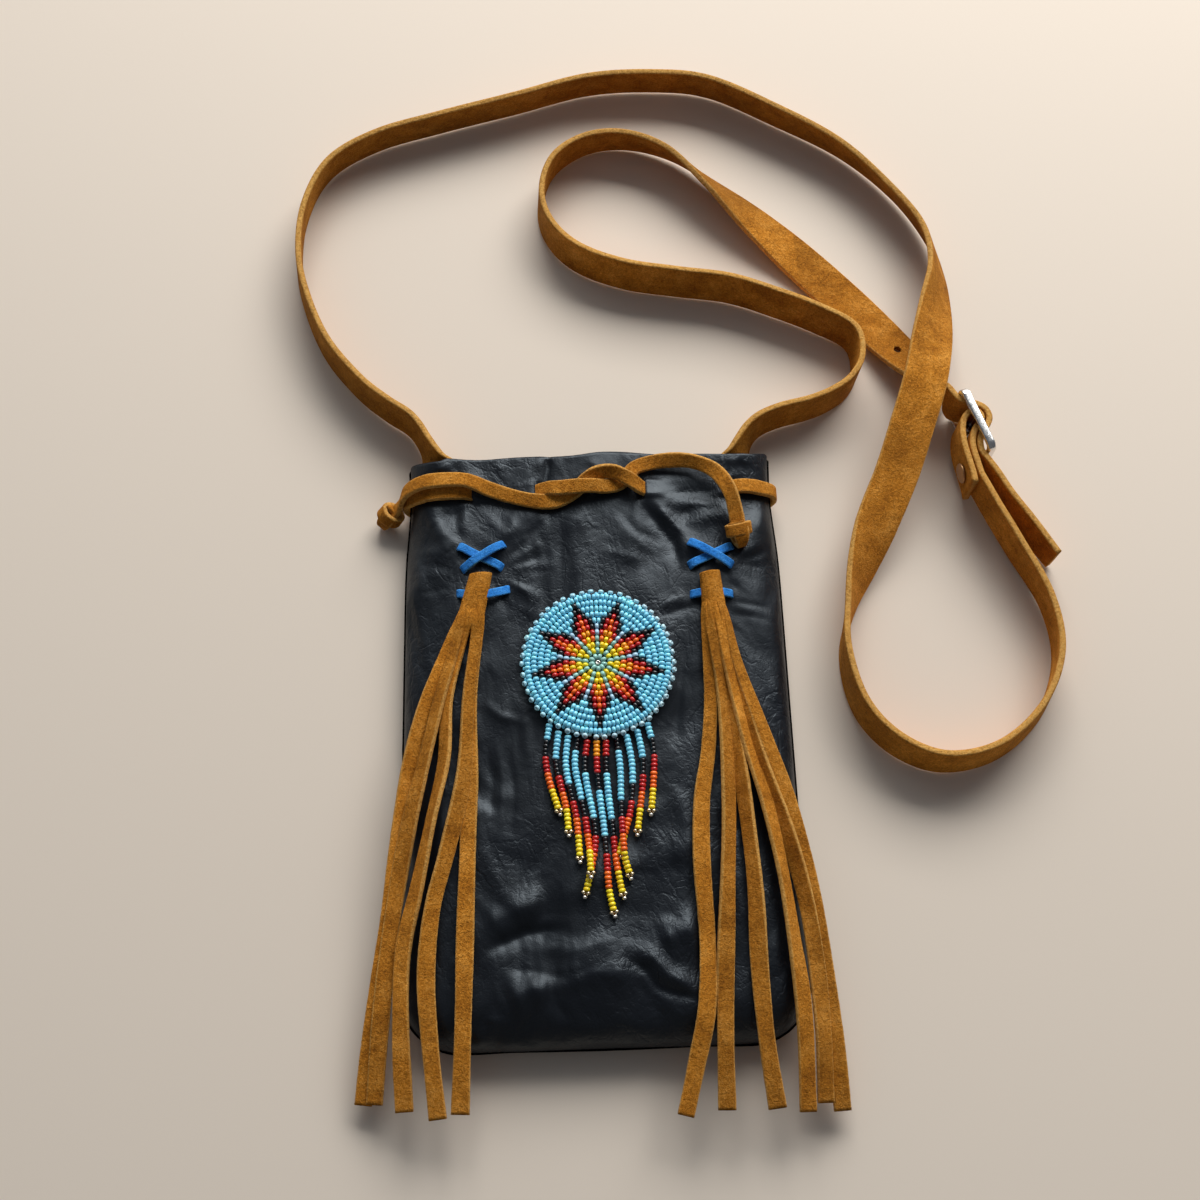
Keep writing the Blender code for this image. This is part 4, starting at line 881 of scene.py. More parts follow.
# Strips of each side from its head down: rise of the first places, then x, y and lean of each place.
# A lean of 90 lies flat, and less or more stands up on an edge.
STRIPS = {
    -1: [
        (0.0, (-40.4, 23, 84), (-45.6, 9, 108), (-49.8, -7, 116), (-52.4, -24, 104), (-54.6, -44, 84),
         (-57.4, -62, 78), (-59.4, -77, 86), (-61.4, -92, 90)),
        (1.0, (-37.9, 23, 70), (-41.9, 9, 58), (-45.7, -7, 56), (-49.6, -23, 66), (-52.6, -38, 84),
         (-55.2, -56, 100), (-56.9, -74, 96), (-58.4, -92, 88)),
        (0.3, (-36.4, 24, 78), (-39.9, 9, 62), (-40.5, -7, 44), (-43.7, -23, 36), (-47.4, -40, 48),
         (-51, -56, 66), (-51.4, -75, 80), (-50.6, -94, 90)),
        (1.2, (-32.4, 25, 100), (-34.2, 9, 116), (-35.4, -12, 124), (-39.5, -31, 122), (-43.4, -46, 112),
         (-44.9, -62, 98), (-43.9, -78, 92), (-42.1, -96, 90)),
        (0.1, (-31.9, 25, 90), (-33.6, 9, 86), (-33.9, -12, 82), (-34.4, -31, 86), (-35, -50, 90),
         (-35.6, -73, 94), (-36.6, -95, 90)),
    ],
    1: [
        (0.0, (30.4, 19, 84), (30.4, 7, 80), (28.9, -7, 86), (26.5, -20, 100), (25.6, -36, 98),
         (26, -56, 88), (24.9, -72, 84), (21.8, -85, 88), (18.6, -97, 90)),
        (1.1, (33.2, 12, 112), (33.7, -6, 128), (33.2, -24, 130), (31.6, -44, 118), (30, -64, 100),
         (29.2, -80, 90), (28.8, -96, 90)),
        (0.2, (34.7, 16, 64), (36.3, -4, 50), (38, -26, 46), (38.8, -44, 58), (38.6, -62, 80),
         (39.4, -80, 92), (41.2, -96, 90)),
        (1.3, (35.6, 16, 118), (39, -4, 132), (43, -20, 134), (46, -38, 140), (47.8, -56, 134),
         (49.2, -74, 112), (48.9, -97, 96)),
        (0.4, (36.9, 16, 66), (41.9, -8, 52), (47.6, -27, 54), (51.6, -44, 64), (53.4, -60, 98),
         (53.9, -78, 118), (53.7, -95, 94)),
        (1.4, (38, 17, 102), (43.8, -3, 112), (49.2, -20, 104), (52.8, -38, 92), (55.4, -58, 88),
         (56.9, -77, 88), (58, -97, 90)),
    ],
}
# Rolled head of each side: both ends, slant of the top in degrees, share of the width and tone of strips
HEADS = {-1: ((-30.9, 44.6), (-34.4, 29.0), 16, 1.12, 0.20), 1: ((32.0, 43.2), (33.0, 29.0), 4, 1.02, 0.06)}
HEAD_STATIONS = 30
HEAD_SPREAD = 62


def strip_height(x, y):
    """Middle of a strip that lies on the front's folds here, sinking past its side and lower end."""
    fold = max(0.0, *(float(fold_sum(FRONT_FOLDS, x + aside, y)) for aside in (-2.4, -1.2, 0.0, 1.2, 2.4)))
    rest = POUCH_HEIGHT + fold + GAP + STRIP_THICK / 2 + 0.1
    return rest - 0.4 * max(0.0, abs(x) - 44.0) - 0.16 * max(0.0, -y - 72.0)


def make_tassel(name, side, material):
    """A rolled head of suede that opens into cut strips."""
    rnd = random.Random(11 + side)
    upper, lower, slant, fullness, tone = HEADS[side]
    roll_z = front_top(*upper) + GAP + ROLL_THICK / 2
    top = Vector((*upper, roll_z))
    low = Vector((*lower, roll_z - 0.4))
    centres = [top.lerp(low, k / (HEAD_STATIONS - 1)) for k in range(HEAD_STATIONS)]
    frames = []
    for i, (middle, across, face) in enumerate(strip_frames(centres, [Vector((1, 0, 0))] * HEAD_STATIONS)):
        turn = radians(slant * max(0.0, 1 - i / 9))
        frames.append((middle, across * cos(turn) - across.cross(face) * sin(turn), face))

    def roll_size(share):
        closing = sqrt(max(0.04, 1 - max(0.0, (share - 0.8) / 0.2) ** 2))
        return (ROLL_WIDTH / 2 * (fullness + 0.20 * share) * closing,
                ROLL_THICK / 2 * (1.0 - 0.1 * share) * closing)

    def head_ring(row):
        wide, deep = roll_size(row / (HEAD_STATIONS - 1))
        points = []
        for k in range(32):
            turn = 2 * pi * k / 32
            lap = 1 + 0.04 * cos(turn * 3 + row * 0.05)
            dent = 1 - 0.10 * exp(-((degrees(turn) - 118 - row) / 9) ** 2)
            points.append((wide * lap * dent * cos(turn), deep * lap * dent * sin(turn), 0.0))
        return points

    parts = [sweep(frames, head_ring)]
    tones = [0.12] * len(parts[0][0])
    section = strip_section(STRIP_WIDTH, STRIP_THICK, 0.45, 6, 3)
    strips = STRIPS[side]
    for number, (lift, *points) in enumerate(strips):
        round_roll = HEAD_SPREAD * (2 * number / (len(strips) - 1) - 1)
        turn = radians(round_roll)
        start = 0.42 + 0.12 * rnd.uniform(0, 1) + 0.12 * (number % 2)
        route = []
        for share, sink in ((start, -1.35), (0.88, -0.25)):
            wide, deep = roll_size(min(share, 0.8))
            middle = top.lerp(low, share)
            route.append((middle.x + (wide + sink) * sin(turn), middle.y,
                          middle.z + (deep + sink) * cos(turn), 90 + 0.8 * round_roll))
        for index, (x, y, lean) in enumerate(points, 1):
            turn = radians(lean)
            stand = STRIP_WIDTH / 2 * abs(cos(turn)) - STRIP_THICK / 2 * (1 - abs(sin(turn)))
            rise = lift * max(0.0, 1 - index / 6) + max(0.0, stand)
            route.append((x, y, strip_height(x, y) + rise, lean))
        wobble = rnd.uniform(0, 6.28)

        def strip_ring(row):
            grow = 1 + 0.05 * sin(row * 0.13 + wobble) + 0.015 * rnd.uniform(-1, 1)
            grow *= 0.5 + 0.5 * min(1.0, row / 58)
            opened = min(1.0, max(0.0, (row - 10) / 16))
            return [(across * grow, deep, mark * opened) for across, deep, mark in section]

        parts.append(sweep(leaning_frames(even_rows(smooth_route(route, 10), 0.9)), strip_ring))
        tones += [rnd.uniform(-0.12, 0.16) + tone] * len(parts[-1][0])
    verts, faces, marks = merged(parts)
    return outward(to_object(name, verts, faces, material, marks, tones))


# Beadwork

BEAD_COLOURS = {
    "sky": (0.24, 0.72, 0.95),
    "aqua": (0.30, 0.60, 0.54),
    "pale": (0.42, 0.66, 0.84),
    "yellow": (1.0, 0.72, 0.010),
    "amber": (1.0, 0.36, 0.008),
    "orange": (0.96, 0.15, 0.008),
    "red": (0.52, 0.010, 0.010),
    "black": (0.004, 0.004, 0.006),
    "clear": (0.52, 0.76, 0.86),
    "pearl": (0.42, 0.76, 0.90),
    "bronze": (0.74, 0.60, 0.38),
    "silver": (0.80, 0.76, 0.68),
}
BEAD_ORDER = list(BEAD_COLOURS)
METAL_BEADS = ("bronze", "silver")
BEAD_AROUND = 12
BEAD_ACROSS = 7
BEAD_HOLE = 0.30


def bead_form():
    """Unit seed bead with its hole along X: a ring with a rounded outside."""
    profile = []
    for k in range(BEAD_ACROSS):
        turn = pi * k / (BEAD_ACROSS - 1)
        rise = sin(turn) ** 0.62 if 0 < k < BEAD_ACROSS - 1 else 0.0
        profile.append((-0.5 * cos(turn), BEAD_HOLE + (1 - BEAD_HOLE) * rise))
    verts, faces = [], []
    for k in range(BEAD_AROUND):
        turn = 2 * pi * k / BEAD_AROUND
        verts += [(x, r * cos(turn), r * sin(turn)) for x, r in profile]
        a, b = k * BEAD_ACROSS, (k + 1) % BEAD_AROUND * BEAD_ACROSS
        faces += [(a + i, a + i + 1, b + i + 1, b + i) for i in range(BEAD_ACROSS - 1)]
        faces.append((a + BEAD_ACROSS - 1, a, b, b + BEAD_ACROSS - 1))
    return verts, faces


BEAD_VERTS, BEAD_FACES = bead_form()


def bead_at(parts, centre, axis, radius, length, colour, rnd):
    """Add one bead with a little of its own size and tilt."""
    axis = (axis + Vector([rnd.uniform(-0.09, 0.09) for _ in range(3)])).normalized()
    side = square_to(axis)
    third = axis.cross(side)
    radius *= 1 + rnd.uniform(-0.05, 0.05)
    length *= 1 + rnd.uniform(-0.06, 0.06)
    verts = [tuple(centre + axis * (x * length) + side * (y * radius) + third * (z * radius))
             for x, y, z in BEAD_VERTS]
    parts.append((verts, BEAD_FACES, BEAD_ORDER.index(colour)))


def bead_object(name, parts, materials):
    """One object from lots of places, faces and a material number."""
    verts, faces, slots = merged([(verts, faces, [slot] * len(faces)) for verts, faces, slot in parts])
    piece = to_object(name, verts, faces, None)
    for material in materials:
        piece.data.materials.append(material)
    piece.data.polygons.foreach_set("material_index", slots)
    return outward(piece)


# Bead colours of each ring out to a share of half a ninth, with 0 on the ray
RING_COLOURS = [
    [(0.5, "aqua")],
    [(0.12, "yellow"), (0.5, "aqua")],
    [(0.30, "yellow"), (0.5, "aqua")],
    [(0.05, "yellow"), (0.30, "orange"), (0.5, "aqua")],
    [(0.12, "amber"), (0.32, "red"), (0.5, "pale")],
    [(0.05, "orange"), (0.20, "red"), (0.36, "black"), (0.5, "pale")],
    [(0.05, "orange"), (0.16, "red"), (0.30, "black"), (0.5, "sky")],
    [(0.05, "red"), (0.16, "black"), (0.5, "sky")],
    [(0.07, "black"), (0.5, "sky")],
    [(0.04, "black"), (0.5, "sky")],
    [(0.5, "sky")],
]
# Rings whose beads stand half a bead off the ray
SHIFTED_RINGS = (3, 5, 9)


def spoke(turn):
    return Vector((cos(turn), sin(turn), 0))


def make_rosette(materials):
    """Rings of beads sewn flat with their holes along the ring, on a leather backing."""
    rnd = random.Random(21)
    middle = Vector((ROSETTE_X, ROSETTE_Y, front_top(ROSETTE_X, ROSETTE_Y) + GAP))
    disc = [(0.0, 0.0), (BACKING_RADIUS - 0.4, 0.0), (BACKING_RADIUS, 0.25),
            (BACKING_RADIUS, BACKING_THICK - 0.3), (BACKING_RADIUS - 0.4, BACKING_THICK),
            (0.0, BACKING_THICK)]
    parts = [(*lathe(disc, 72, Matrix.Translation(middle)), len(BEAD_ORDER))]
    height = BACKING_THICK + BEAD_LIFT
    bead_at(parts, middle + UP * (height + 0.1), UP, 0.75, 0.9, "silver", rnd)
    for ring, bands in enumerate(RING_COLOURS, 1):
        count = RAYS * ring
        shift = 0.5 if ring in SHIFTED_RINGS else 0.0
        for bead in range(count):
            share = ((bead + shift) / ring) % 1.0
            off_ray = min(share, 1.0 - share)
            colour = next(name for reach, name in bands if off_ray <= reach + 1e-6)
            radius = ring * BEAD_RING_PITCH + rnd.uniform(-0.05, 0.05)
            turn = 2 * pi * ((bead + shift) / count + 0.75) + rnd.uniform(-0.05, 0.05) / ring
            lift = height + rnd.uniform(-0.06, 0.06) - 0.10 * (ring / ROSETTE_RINGS) ** 4
            along = spoke(turn + pi / 2)
            bead_at(parts, middle + spoke(turn) * radius + UP * lift, along, 0.90, 1.16, colour, rnd)
    edge = (ROSETTE_RINGS + 0.5) * BEAD_RING_PITCH + EDGE_BEAD_RADIUS - 0.1
    for bead in range(EDGE_BEADS):
        turn = 2 * pi * (bead + rnd.uniform(-0.12, 0.12)) / EDGE_BEADS
        glittering = cos(turn + radians(35)) > 0.05
        out = spoke(turn)
        place = middle + out * (edge + rnd.uniform(-0.1, 0.1)) + UP * (height + rnd.uniform(-0.25, 0.1))
        axis = (out + UP * rnd.uniform(0.2, 0.9)).normalized()
        bead_at(parts, place, axis, 0.78, 1.05, "clear" if glittering else "pearl", rnd)
        between = turn + pi / EDGE_BEADS
        place = middle + spoke(between) * (edge - 0.75) + UP * (height - 0.55)
        bead_at(parts, place, spoke(between + pi / 2), 0.66, 0.95, "clear" if glittering else "sky", rnd)
    return bead_object("rosette_beads", parts, materials)


# Number of beads of each strand, left to right, and places along it
STRANDS = [
    (22, [(-12.9, 1), (-14, -6), (-13.2, -13), (-11.2, -20)]),
    (25, [(-10.5, -1), (-11.3, -8), (-10.2, -14.5), (-8.8, -21), (-8.3, -28)]),
    (30, [(-8, -2.3), (-8.7, -9), (-7.7, -16), (-6.2, -24), (-5.6, -34)]),
    (33, [(-5.5, -3.2), (-6.3, -9), (-5.3, -16), (-3.9, -24), (-3.1, -32), (-2.9, -38.5)]),
    (37, [(-3, -3.7), (-3.7, -10), (-3, -16.5), (-1.7, -24), (-1.5, -30), (-2.7, -36.5),
          (-4.5, -43.5)]),
    (41, [(-0.4, -3.9), (-0.5, -10), (0, -18), (0.8, -26), (1.3, -34), (1.6, -42), (2.9, -49)]),
    (37, [(2.1, -3.9), (1.9, -10), (2.3, -18), (3.1, -26), (3.6, -34), (4.6, -41), (5.6, -45)]),
    (33, [(5, -3.5), (5.6, -11), (5.5, -19), (5.6, -27), (5.9, -34), (6.9, -38)]),
    (30, [(7.7, -2.6), (8.7, -9), (8.6, -16), (7.7, -22.5), (6.1, -28), (4.4, -33.5)]),
    (25, [(10.6, -1.3), (11.6, -8), (11.3, -15), (10.3, -22), (9.3, -29)]),
    (22, [(13.4, 0.6), (14.6, -6), (14.2, -14), (13.2, -23)]),
]
# Strands that cross over a neighbour: where, over what reach and how high
STRAND_CROSSINGS = {4: (-37.0, 5.0, 1.75), 8: (-29.5, 5.0, 1.75)}
# Beads from the rosette down to the shared tip, for the outermost strand to the middle one
STRAND_TOPS = [
    [("sky", 4)],
    [("sky", 7)],
    [("sky", 12)],
    [("black", 3), ("sky", 12)],
    [("red", 4), ("black", 4), ("sky", 11)],
    [("amber", 4), ("red", 4), ("black", 4), ("sky", 11)],
]
# The tip goes on in yellow as far as the strand is long
STRAND_TIP = [("black", 4), ("red", 4), ("orange", 4)]
# The metal beads that end each strand: place aside, place along and colour
STRAND_ENDS = ((-0.62, -0.15, "bronze"), (0.62, -0.15, "bronze"), (0.0, 0.95, "silver"))
THREAD_RADIUS = 0.16


def make_strand(number, count, spots, materials):
    rnd = random.Random(100 + number)
    start, second = (Vector((*spot, 0)) for spot in spots[:2])
    start += (start - second).normalized()
    route = smooth_route([start] + [(*spot, 0) for spot in spots[1:]], 8)
    route.append(route[-1] + (route[-1] - route[-2]).normalized() * 100)
    centres = even_rows(route, STRAND_BEAD_PITCH / 2, 2 * count + 1)
    middle, reach, height = STRAND_CROSSINGS.get(number, (0.0, 1.0, 0.0))
    for centre in centres:
        extra = float(front_detail(np.array(centre.x), np.array(centre.y)))
        centre.z = front_top(centre.x, centre.y) + GAP * 0.5 + STRAND_BEAD_RADIUS + max(0.0, extra)
        centre.z += height * exp(-((centre.y - middle) / reach) ** 4)
    bands = STRAND_TOPS[min(number - 1, len(STRANDS) - number)] + STRAND_TIP
    colours = [name for name, times in bands for _ in range(times)] + ["yellow"] * count
    thread = centres[::2]
    line = sweep(strip_frames(thread, [UP] * len(thread)), circle(THREAD_RADIUS, 6))
    parts = [(*line[:2], len(BEAD_ORDER))]
    for bead, colour in enumerate(colours[:count - 1]):
        along = (thread[bead + 1] - thread[bead]).normalized()
        radius = STRAND_BEAD_RADIUS * 1.06 * (0.78 if colour == "black" else 1.0)
        bead_at(parts, centres[2 * bead + 1], along, radius, STRAND_BEAD_PITCH * 1.04, colour, rnd)
    along = (thread[-1] - thread[-2]).normalized()
    aside = UP.cross(along)
    for shift, past, colour in STRAND_ENDS:
        place = centres[-2] + aside * shift + along * past
        bead_at(parts, place, along + aside * shift, 0.62, 0.95, colour, rnd)
    return bead_object(f"strand_{number:02d}_beads", parts, materials)


# Shoulder strap and buckle

def at_buckle(along, aside):
    turn = radians(BUCKLE_ANGLE)
    return (BAR_X + along * cos(turn) - aside * sin(turn),
            BAR_Y + along * sin(turn) + aside * cos(turn))


def off_fold(run, aside):
    start, end = (radians(turn) for turn in FOLD_TURN)
    steps = 24
    along = across = 0.0
    lean = start
    for k in range(steps):
        length = max(run, 0.0) / steps
        lean = start + (end - start) * min(1.0, (k + 0.5) * length / FOLD_BEND)
        along += length * cos(lean)
        across -= length * sin(lean)
    lean = start + (end - start) * min(1.0, max(run, 0.0) / FOLD_BEND)
    return at_buckle(along + aside * sin(lean), across + aside * cos(lean))


def round_bar(radius, turn):
    lean = radians(turn - FOLD_TURN[0])
    return at_buckle(radius * cos(lean), radius * sin(lean))


def inside_corner(side):
    """The strap's end, flat on the back's inside and over the lace's bulge."""
    rows = []
    for y in (50.0, 55.0, 60.0, 63.0, 66.0, 70.0):
        rise = max(float(back_lift(y + ahead)) for ahead in (-2.5, 0.0, 2.5))
        rows.append((side * 38.4, y, LEATHER + 2 * GAP + STRAP_THICK / 2 + rise, side * 90))
    return rows


def strap_left_route():
    return [
        *inside_corner(-1),
        (-39.4, 74, 5.7, -80), (-41.8, 77.6, 6.3, -60), (-44.4, 81, 6.6, -38),
        (-45.9, 84.6, 6.9, -22), (-47.2, 88.2, 6.9, -12), (-49.3, 92.4, 6.9, -9), (-52.4, 96.3, 6.8, -8),
        (-58.8, 101, 6.8, -8), (-66.8, 108.3, 6.7, -8), (-76.5, 121, 6.7, -8), (-83, 136, 6.7, -8),
        (-86.6, 152, 6.7, -8), (-85.6, 170, 6.7, -10), (-78.6, 186, 6.7, -12),
        (-64, 196, 6.7, -12), (-44, 202.4, 6.7, -12), (-20, 209, 6.7, -12),
        (3, 215.5, 6.7, -12), (24, 216.4, 6.7, -12), (42, 213.6, 6.7, -12),
        (62, 202.4, 6.7, -12), (82, 188.8, 6.7, -16), (96.5, 172.4, 6.9, -22),
        (105.4, 156, 7.6, -20), (107.2, 141, 9, -30), (104.6, 127, 12.2, -54),
        (101, 113, 15.8, -76), (97.6, 100.4, 16.6, -84), (93.2, 88, 14.2, -84),
        (87.9, 74, 10.8, -82), (81.8, 61, 8.4, -74), (76.4, 48.6, 7.4, -44),
        (71.6, 35.6, 6.7, -14), (69, 22, 6.7, 0), (71.9, 6.5, 6.7, 6),
        (80.4, -4.4, 6.7, 8), (93, -9.8, 6.7, 8), (108, -6.8, 6.7, 8),
        (120.8, 4, 6.7, 8), (127.6, 19, 6.7, 6), (126.6, 35, 6.9, 4),
        (119.6, 51, 7.8, 0), (114.4, 62, STRAP_Z_IN_BUCKLE, 0),
    ]


def strap_fold():
    radius = RAIL_RADIUS
    near = radius - STRAP_LAYER
    spots = [off_fold(run, radius) for run in (19.0, RIVET_FROM_BAR, 12.0, 8.5, 5.0, 2.0)]
    spots += [round_bar(radius, 90 + 30 * k) for k in range(7)]
    back = [(2.0, -radius), (5.0, near - 1.2), (8.5, near - 0.35), (12.0, near - 0.03),
            (RIVET_FROM_BAR, near - 0.03), (19.0, near - 0.1), (FOLD_END, near - 0.4)]
    spots += [off_fold(run, aside) for run, aside in back]
    return [(x, y, STRAP_Z_IN_BUCKLE, 0) for x, y in spots]


def strap_right_route():
    return [
        *inside_corner(1),
        (39.3, 74, 5.7, 80), (41.2, 77.4, 6.3, 58), (43, 80.8, 6.6, 34), (44.4, 84.8, 6.8, 18),
        (46.6, 89.2, 6.8, 9), (50.2, 92.6, 6.8, 5), (56.4, 95.2, 6.8, 4), (64.6, 97.3, 6.7, 3),
        (71.6, 100.2, 6.7, 2), (77.4, 104.6, 6.7, 0), (80.8, 111.6, 6.7, -4),
        (79.6, 120.8, 6.7, -6), (70, 127.4, 6.7, -8), (58, 133.2, 6.7, -8),
        (44, 138.7, 6.7, -8), (28, 141.5, 6.7, -8), (12, 144.8, 6.7, -8),
        (-2, 151.4, 6.7, -8), (-10.2, 161.4, 6.7, -6), (-12.3, 173, 6.7, -4),
        (-8.4, 185, 6.7, -6), (1.8, 192.6, 6.7, -10), (14.8, 193.8, 6.7, -14),
        (28.6, 188.2, 6.8, -22), (41.4, 176.2, 6.2, -40), (54, 163.6, 4.2, -66),
        (67.4, 150, 2, -86), (80, 135.6, 1.6, -90), (89.4, 123.4, 2.4, -84),
        (95.8, 114.2, 4, -72), (100.2, 107.6, 5.6, -56), (103.4, 102.4, 7.4, -32),
        (104.9, 99.4, 8.5, -8),
    ]


def strap_through_buckle():
    z = STRAP_Z_IN_BUCKLE
    around_rail = RAIL_RADIUS + 0.1
    hump = RAIL_RADIUS + STRAP_LAYER + 0.1
    rise = asin((around_rail + hump) / BAR_TO_NEAR_END)
    spots = []
    for turn in (-pi / 2, rise - pi / 2):
        spots.append(at_buckle(-BAR_TO_NEAR_END + around_rail * cos(turn), around_rail * sin(turn)))
    past = radians(90 - FOLD_TURN[0])
    for k in range(4):
        turn = pi / 2 + rise + (past - pi / 2 - rise) * k / 3
        spots.append(at_buckle(hump * cos(turn), hump * sin(turn)))
    spots += [off_fold(run, hump) for run in (3.0, 6.0, 9.0, 12.5)]
    spots.append(off_fold(14.6, hump + 0.8))
    route = [(x, y, z, 0) for x, y in spots]
    return route + [(115.6, 71.6, 8.6, 0), (119.0, 65.2, 8.0, 0), (124.4, 56.8, 7.2, 0),
                    (130.2, 47.4, 6.8, -4)]


def strap_painted_light(x, y):
    """Painted light: paler where the right fall and the middle of the under loop turn to the light."""
    fall = min(1.0, max(0.0, (150.0 - y) / 50)) * min(1.0, max(0.0, (x - 50.0) / 30))
    return 0.34 * fall + (0.22 if abs(x) < 66 and 110 < y < 160 else 0.0)


def strap_object(name, rows, material, seed):
    """Flat suede strap with slightly uneven cut edges."""
    section = strip_section(STRAP_WIDTH, STRAP_THICK, 0.5, 10, 3)
    rnd = random.Random(seed)

    def ring(row):
        return wider(section, 1 + 0.008 * sin(row * 0.09) + 0.004 * rnd.uniform(-1, 1))

    verts, faces, marks = sweep(leaning_frames(rows), ring)
    # painted light: the strap's tone is paler where it turns to the light
    tones = [strap_painted_light(x, y) for x, y, z in verts]
    return outward(to_object(name, verts, faces, material, marks, tones))


def make_strap_left(material):
    rows = smooth_route(strap_left_route(), 12)[:-1] + smooth_route(strap_fold(), 6)
    rows = even_rows(rows, 1.0)
    strap = strap_object("strap_left_suede", rows, material, 5)
    bar = Vector((BAR_X, BAR_Y, STRAP_Z_IN_BUCKLE))
    half = UP * (PRONG_RADIUS + GAP)
    ends = [Vector((*off_fold(RIVET_FROM_BAR, aside), STRAP_Z_IN_BUCKLE)) for aside in (-4.0, 6.0)]
    cut(strap, [rod("slot", bar - half, bar + half, RAIL_RADIUS + STRAP_THICK / 2 + GAP, 40),
                rod("rivet_hole", *ends, RIVET_POST_RADIUS + GAP)])
    return strap, in_metres(rows)


def make_strap_right(material):
    rows = even_rows(smooth_route(strap_right_route() + strap_through_buckle(), 12), 1.0)
    strap = strap_object("strap_right_suede", rows, material, 6)
    radius = WIRE_RADIUS + GAP + PRONG_RADIUS
    ends = [Vector((*at_buckle(along, radius), STRAP_Z_IN_BUCKLE)) for along in (-BAR_TO_NEAR_END - 3, -1.6)]
    cut(strap, [rod("prong_hole", *ends, PRONG_RADIUS + GAP),
                rod("strap_hole", Vector((*STRAP_HOLE, -3)), Vector((*STRAP_HOLE, 9)), STRAP_HOLE_RADIUS)])
    return strap, in_metres(rows)


def make_buckle(material):
    """A rounded rectangle of flattened wire on edge with a bar across it."""
    low = WIRE_RADIUS + BUCKLE_REST
    high = low + 2 * WIRE_RADIUS + BUCKLE_INSIDE
    near, far, r = -BAR_TO_NEAR_END, BAR_TO_FAR_END, BUCKLE_CORNER
    corners = [(near + r, low + r, 180), (far - r, low + r, 270),
               (far - r, high - r, 0), (near + r, high - r, 90)]
    loop = []
    for along, height, start in corners:
        for k in range(11):
            turn = radians(start + 90 * k / 10)
            loop.append(Vector((*at_buckle(along + r * cos(turn), 0), height + r * sin(turn))))
    side = Vector((*at_buckle(0, 1), 0)) - Vector((BAR_X, BAR_Y, 0))
    section = [(1.18 * copysign(abs(c) ** 0.45, c), 0.82 * copysign(abs(s) ** 0.45, s))
               for c, s, _ in circle(1.0, 28)]
    verts, faces = [], []
    for i, here in enumerate(loop):
        after = (i + 1) % len(loop)
        face = (loop[after] - loop[i - 1]).normalized().cross(side)
        verts += [tuple(here + side * wide + face * deep) for wide, deep in section]
        for k in range(len(section)):
            a, b, ahead = i * len(section), after * len(section), (k + 1) % len(section)
            faces.append((a + k, a + ahead, b + ahead, b + k))
    places = [Vector((BAR_X, BAR_Y, low + (high - low) * k / 8)) for k in range(9)]
    bar = sweep(strip_frames(places, [side] * 9), circle(WIRE_RADIUS * 0.94, 20))
    verts, faces, marks = merged([(verts, faces, [0.0] * len(verts)), bar])
    return outward(to_object("buckle_frame_wire", verts, faces, material, marks))


def make_prong(material):
    """A wire round the bar that runs on through the strap to the near end."""
    radius = WIRE_RADIUS + GAP + PRONG_RADIUS
    points = []
    for k in range(25):
        turn = radians(-200 + 290 * k / 24)
        points.append(at_buckle(radius * cos(turn), radius * sin(turn)))
    points += [at_buckle(along, radius) for along in (-3.0, -5.5, -BAR_TO_NEAR_END - 0.8)]
    places = [Vector((x, y, STRAP_Z_IN_BUCKLE)) for x, y in points]
    last = len(places) - 1

    def section(row):
        return circle(PRONG_RADIUS * (0.72 if row == last else 1.0), 16)

    verts, faces, marks = sweep(strip_frames(places, [UP] * len(places)), section)
    return outward(to_object("buckle_prong_wire", verts, faces, material, marks))


def make_rivet(material):
    """A domed cap, a post through the fold and a flat back."""
    middle = RAIL_RADIUS - STRAP_LAYER / 2
    face = STRAP_THICK + GAP / 2 + GAP
    r, back, post = RIVET_CAP_RADIUS, RIVET_BACK_RADIUS, RIVET_POST_RADIUS
    thick, back_thick = RIVET_CAP_THICK, RIVET_BACK_THICK
    profile = [(0.0, -face - thick)]
    for k in range(1, 9):
        turn = radians(90 * k / 9)
        profile.append((r * sin(turn), -face - thick * (0.35 + 0.65 * cos(turn))))
    profile += [(r, -face - thick * 0.25), (r * 0.97, -face - 0.02), (post, -face), (post, face),
                (back, face), (back, face + back_thick * 0.8), (back * 0.86, face + back_thick),
                (0.0, face + back_thick)]
    out = Vector((*off_fold(RIVET_FROM_BAR, 1), 0)) - Vector((*off_fold(RIVET_FROM_BAR, 0), 0))
    place = Matrix.Translation((*off_fold(RIVET_FROM_BAR, middle), STRAP_Z_IN_BUCKLE))
    verts, faces = lathe(profile, 40, place @ UP.rotation_difference(out).to_matrix().to_4x4())
    return outward(to_object("strap_rivet_cap", verts, faces, material))


# Camera, floor and light

CAMERA_PLACE = (-2.47, -97.67, 383.0)
CAMERA_PITCH = 70.0
CAMERA_HEADING = (0.0314, 0.9995)
SENSOR_WIDTH = 36.0
FOCAL_SHARE = 1433.0 / 1200.0
FLOOR_REACH = 3000.0
FLOOR_Z = -0.2


def make_camera():
    data = bpy.data.cameras.new("camera")
    data.sensor_width = SENSOR_WIDTH
    data.lens = FOCAL_SHARE * SENSOR_WIDTH
    data.clip_start = 0.01
    camera = new_object("camera", data)
    pitch = radians(CAMERA_PITCH)
    look = Vector((*CAMERA_HEADING, 0)).normalized() * cos(pitch) - UP * sin(pitch)
    camera.location = Vector(CAMERA_PLACE) * MM
    camera.rotation_euler = look.to_track_quat("-Z", "Y").to_euler()
    bpy.context.scene.camera = camera


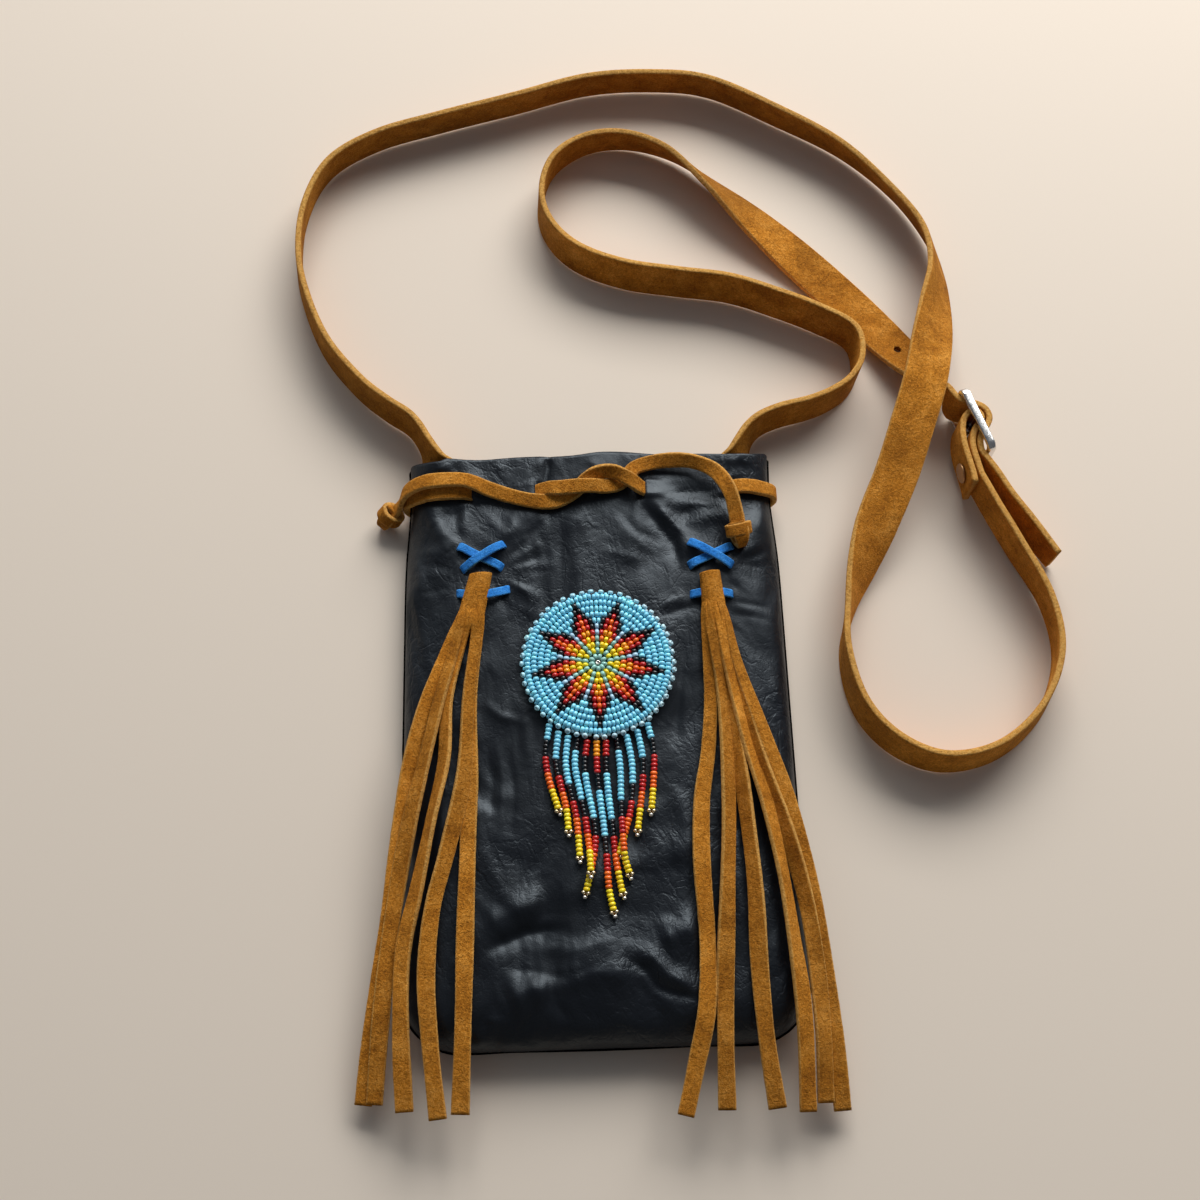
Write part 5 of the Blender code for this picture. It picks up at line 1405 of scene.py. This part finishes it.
def make_floor():
    material, tree, shader = new_material("floor")
    fill(tree, shader, {"Base Color": (0.75, 0.655, 0.555), "Roughness": 0.8})
    corners = [(x * FLOOR_REACH, y * FLOOR_REACH, FLOOR_Z) for x, y in ((-1, -1), (1, -1), (1, 1), (-1, 1))]
    to_object("floor", corners, [(0, 1, 2, 3)], material)


def area_light(name, place, target, size, power, colour):
    data = bpy.data.lights.new(name, "AREA")
    data.shape = "RECTANGLE"
    data.size, data.size_y = size
    data.energy = power
    data.color = colour
    light = new_object(name, data)
    light.location = place
    light.rotation_euler = (Vector(target) - Vector(place)).to_track_quat("-Z", "Y").to_euler()


def make_light():
    """A window on the far side, and a room that is brighter toward it."""
    world = bpy.data.worlds.new("studio")
    world.use_nodes = True
    tree = world.node_tree
    direction = node(tree, "ShaderNodeTexCoord").outputs["Generated"]
    toward = node(tree, "ShaderNodeSeparateXYZ", {0: direction}).outputs["Y"]
    sky = ramp(tree, maths(tree, "MULTIPLY_ADD", toward, 0.5, 0.5),
               [(0.0, 0.13), (0.69, (0.09, 0.10, 0.12)), (0.86, (0.92, 0.97, 1.0)), (1.0, 1.0)])
    fill(tree, tree.nodes["Background"], {"Color": sky, "Strength": 1.0})
    bpy.context.scene.world = world
    area_light("window", (0.30, 0.95, 0.70), (0, 0.05, 0), (1.1, 0.6), 17.5, (1.0, 0.99, 0.97))


def ready(piece, slot, *nodes):
    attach(piece, "root")
    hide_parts(*nodes)


def main():
    bpy.context.scene.view_settings.view_transform = "Standard"
    make_camera()
    make_floor()
    make_light()

    leather = leather_material()
    # the last colour of each suede is its paler cut edge, partly painted highlight
    suede = suede_material("tan_suede", (0.24, 0.078, 0.006), (0.46, 0.172, 0.015), (0.68, 0.300, 0.050),
                           (0.72, 0.40, 0.11))
    blue = suede_material("blue_leather", (0.016, 0.15, 0.52), (0.032, 0.24, 0.72), (0.08, 0.36, 0.86),
                          (0.11, 0.42, 0.90), 0.6)
    beads = [bead_material(f"bead_{name}", colour, 0.85 if name in METAL_BEADS else 0.0)
             for name, colour in BEAD_COLOURS.items()]
    nickel = metal_material("nickel", (0.80, 0.79, 0.77), 0.2)
    copper = metal_material("copper", (0.50, 0.29, 0.14), 0.42)

    left, left_path = make_strap_left(suede)
    right, right_path = make_strap_right(suede)
    lace, lace_path = make_drawstring(suede)
    buckle = make_buckle(nickel)
    prong = make_prong(nickel)
    rivet = make_rivet(copper)
    front = shell("front_leather", front_height, FRONT_GRID, FRONT_ROUND, FRONT_BOTTOM_ROUND, leather)
    back = shell("back_leather", back_height, BACK_GRID, BACK_ROUND, BACK_ROUND, leather)
    for piece, slot, node_name in ((left, "tan_suede", "strap_left"), (right, "tan_suede", "strap_right"),
                                   (lace, "tan_suede", "drawstring"), (buckle, "nickel", "buckle_frame"),
                                   (prong, "nickel", "buckle_prong"), (rivet, "copper", "strap_rivet"),
                                   (front, "black_leather", "front_panel"),
                                   (back, "black_leather", "back_panel")):
        ready(piece, slot, node_name)
    for name, side in (("left", -1), ("right", 1)):
        ready(make_cross_lace(f"cross_lace_{name}_blue", side, blue), "blue_leather", f"cross_lace_{name}")
        ready(make_tassel(f"tassel_{name}_suede", side, suede), "tan_suede", f"tassel_{name}")
    ready(make_rosette(beads + [leather]), "glass_beads", "rosette")
    for number, (count, spots) in enumerate(STRANDS, 1):
        ready(make_strand(number, count, spots, beads + [suede]), "glass_beads", f"bead_strand_{number:02d}")


main()
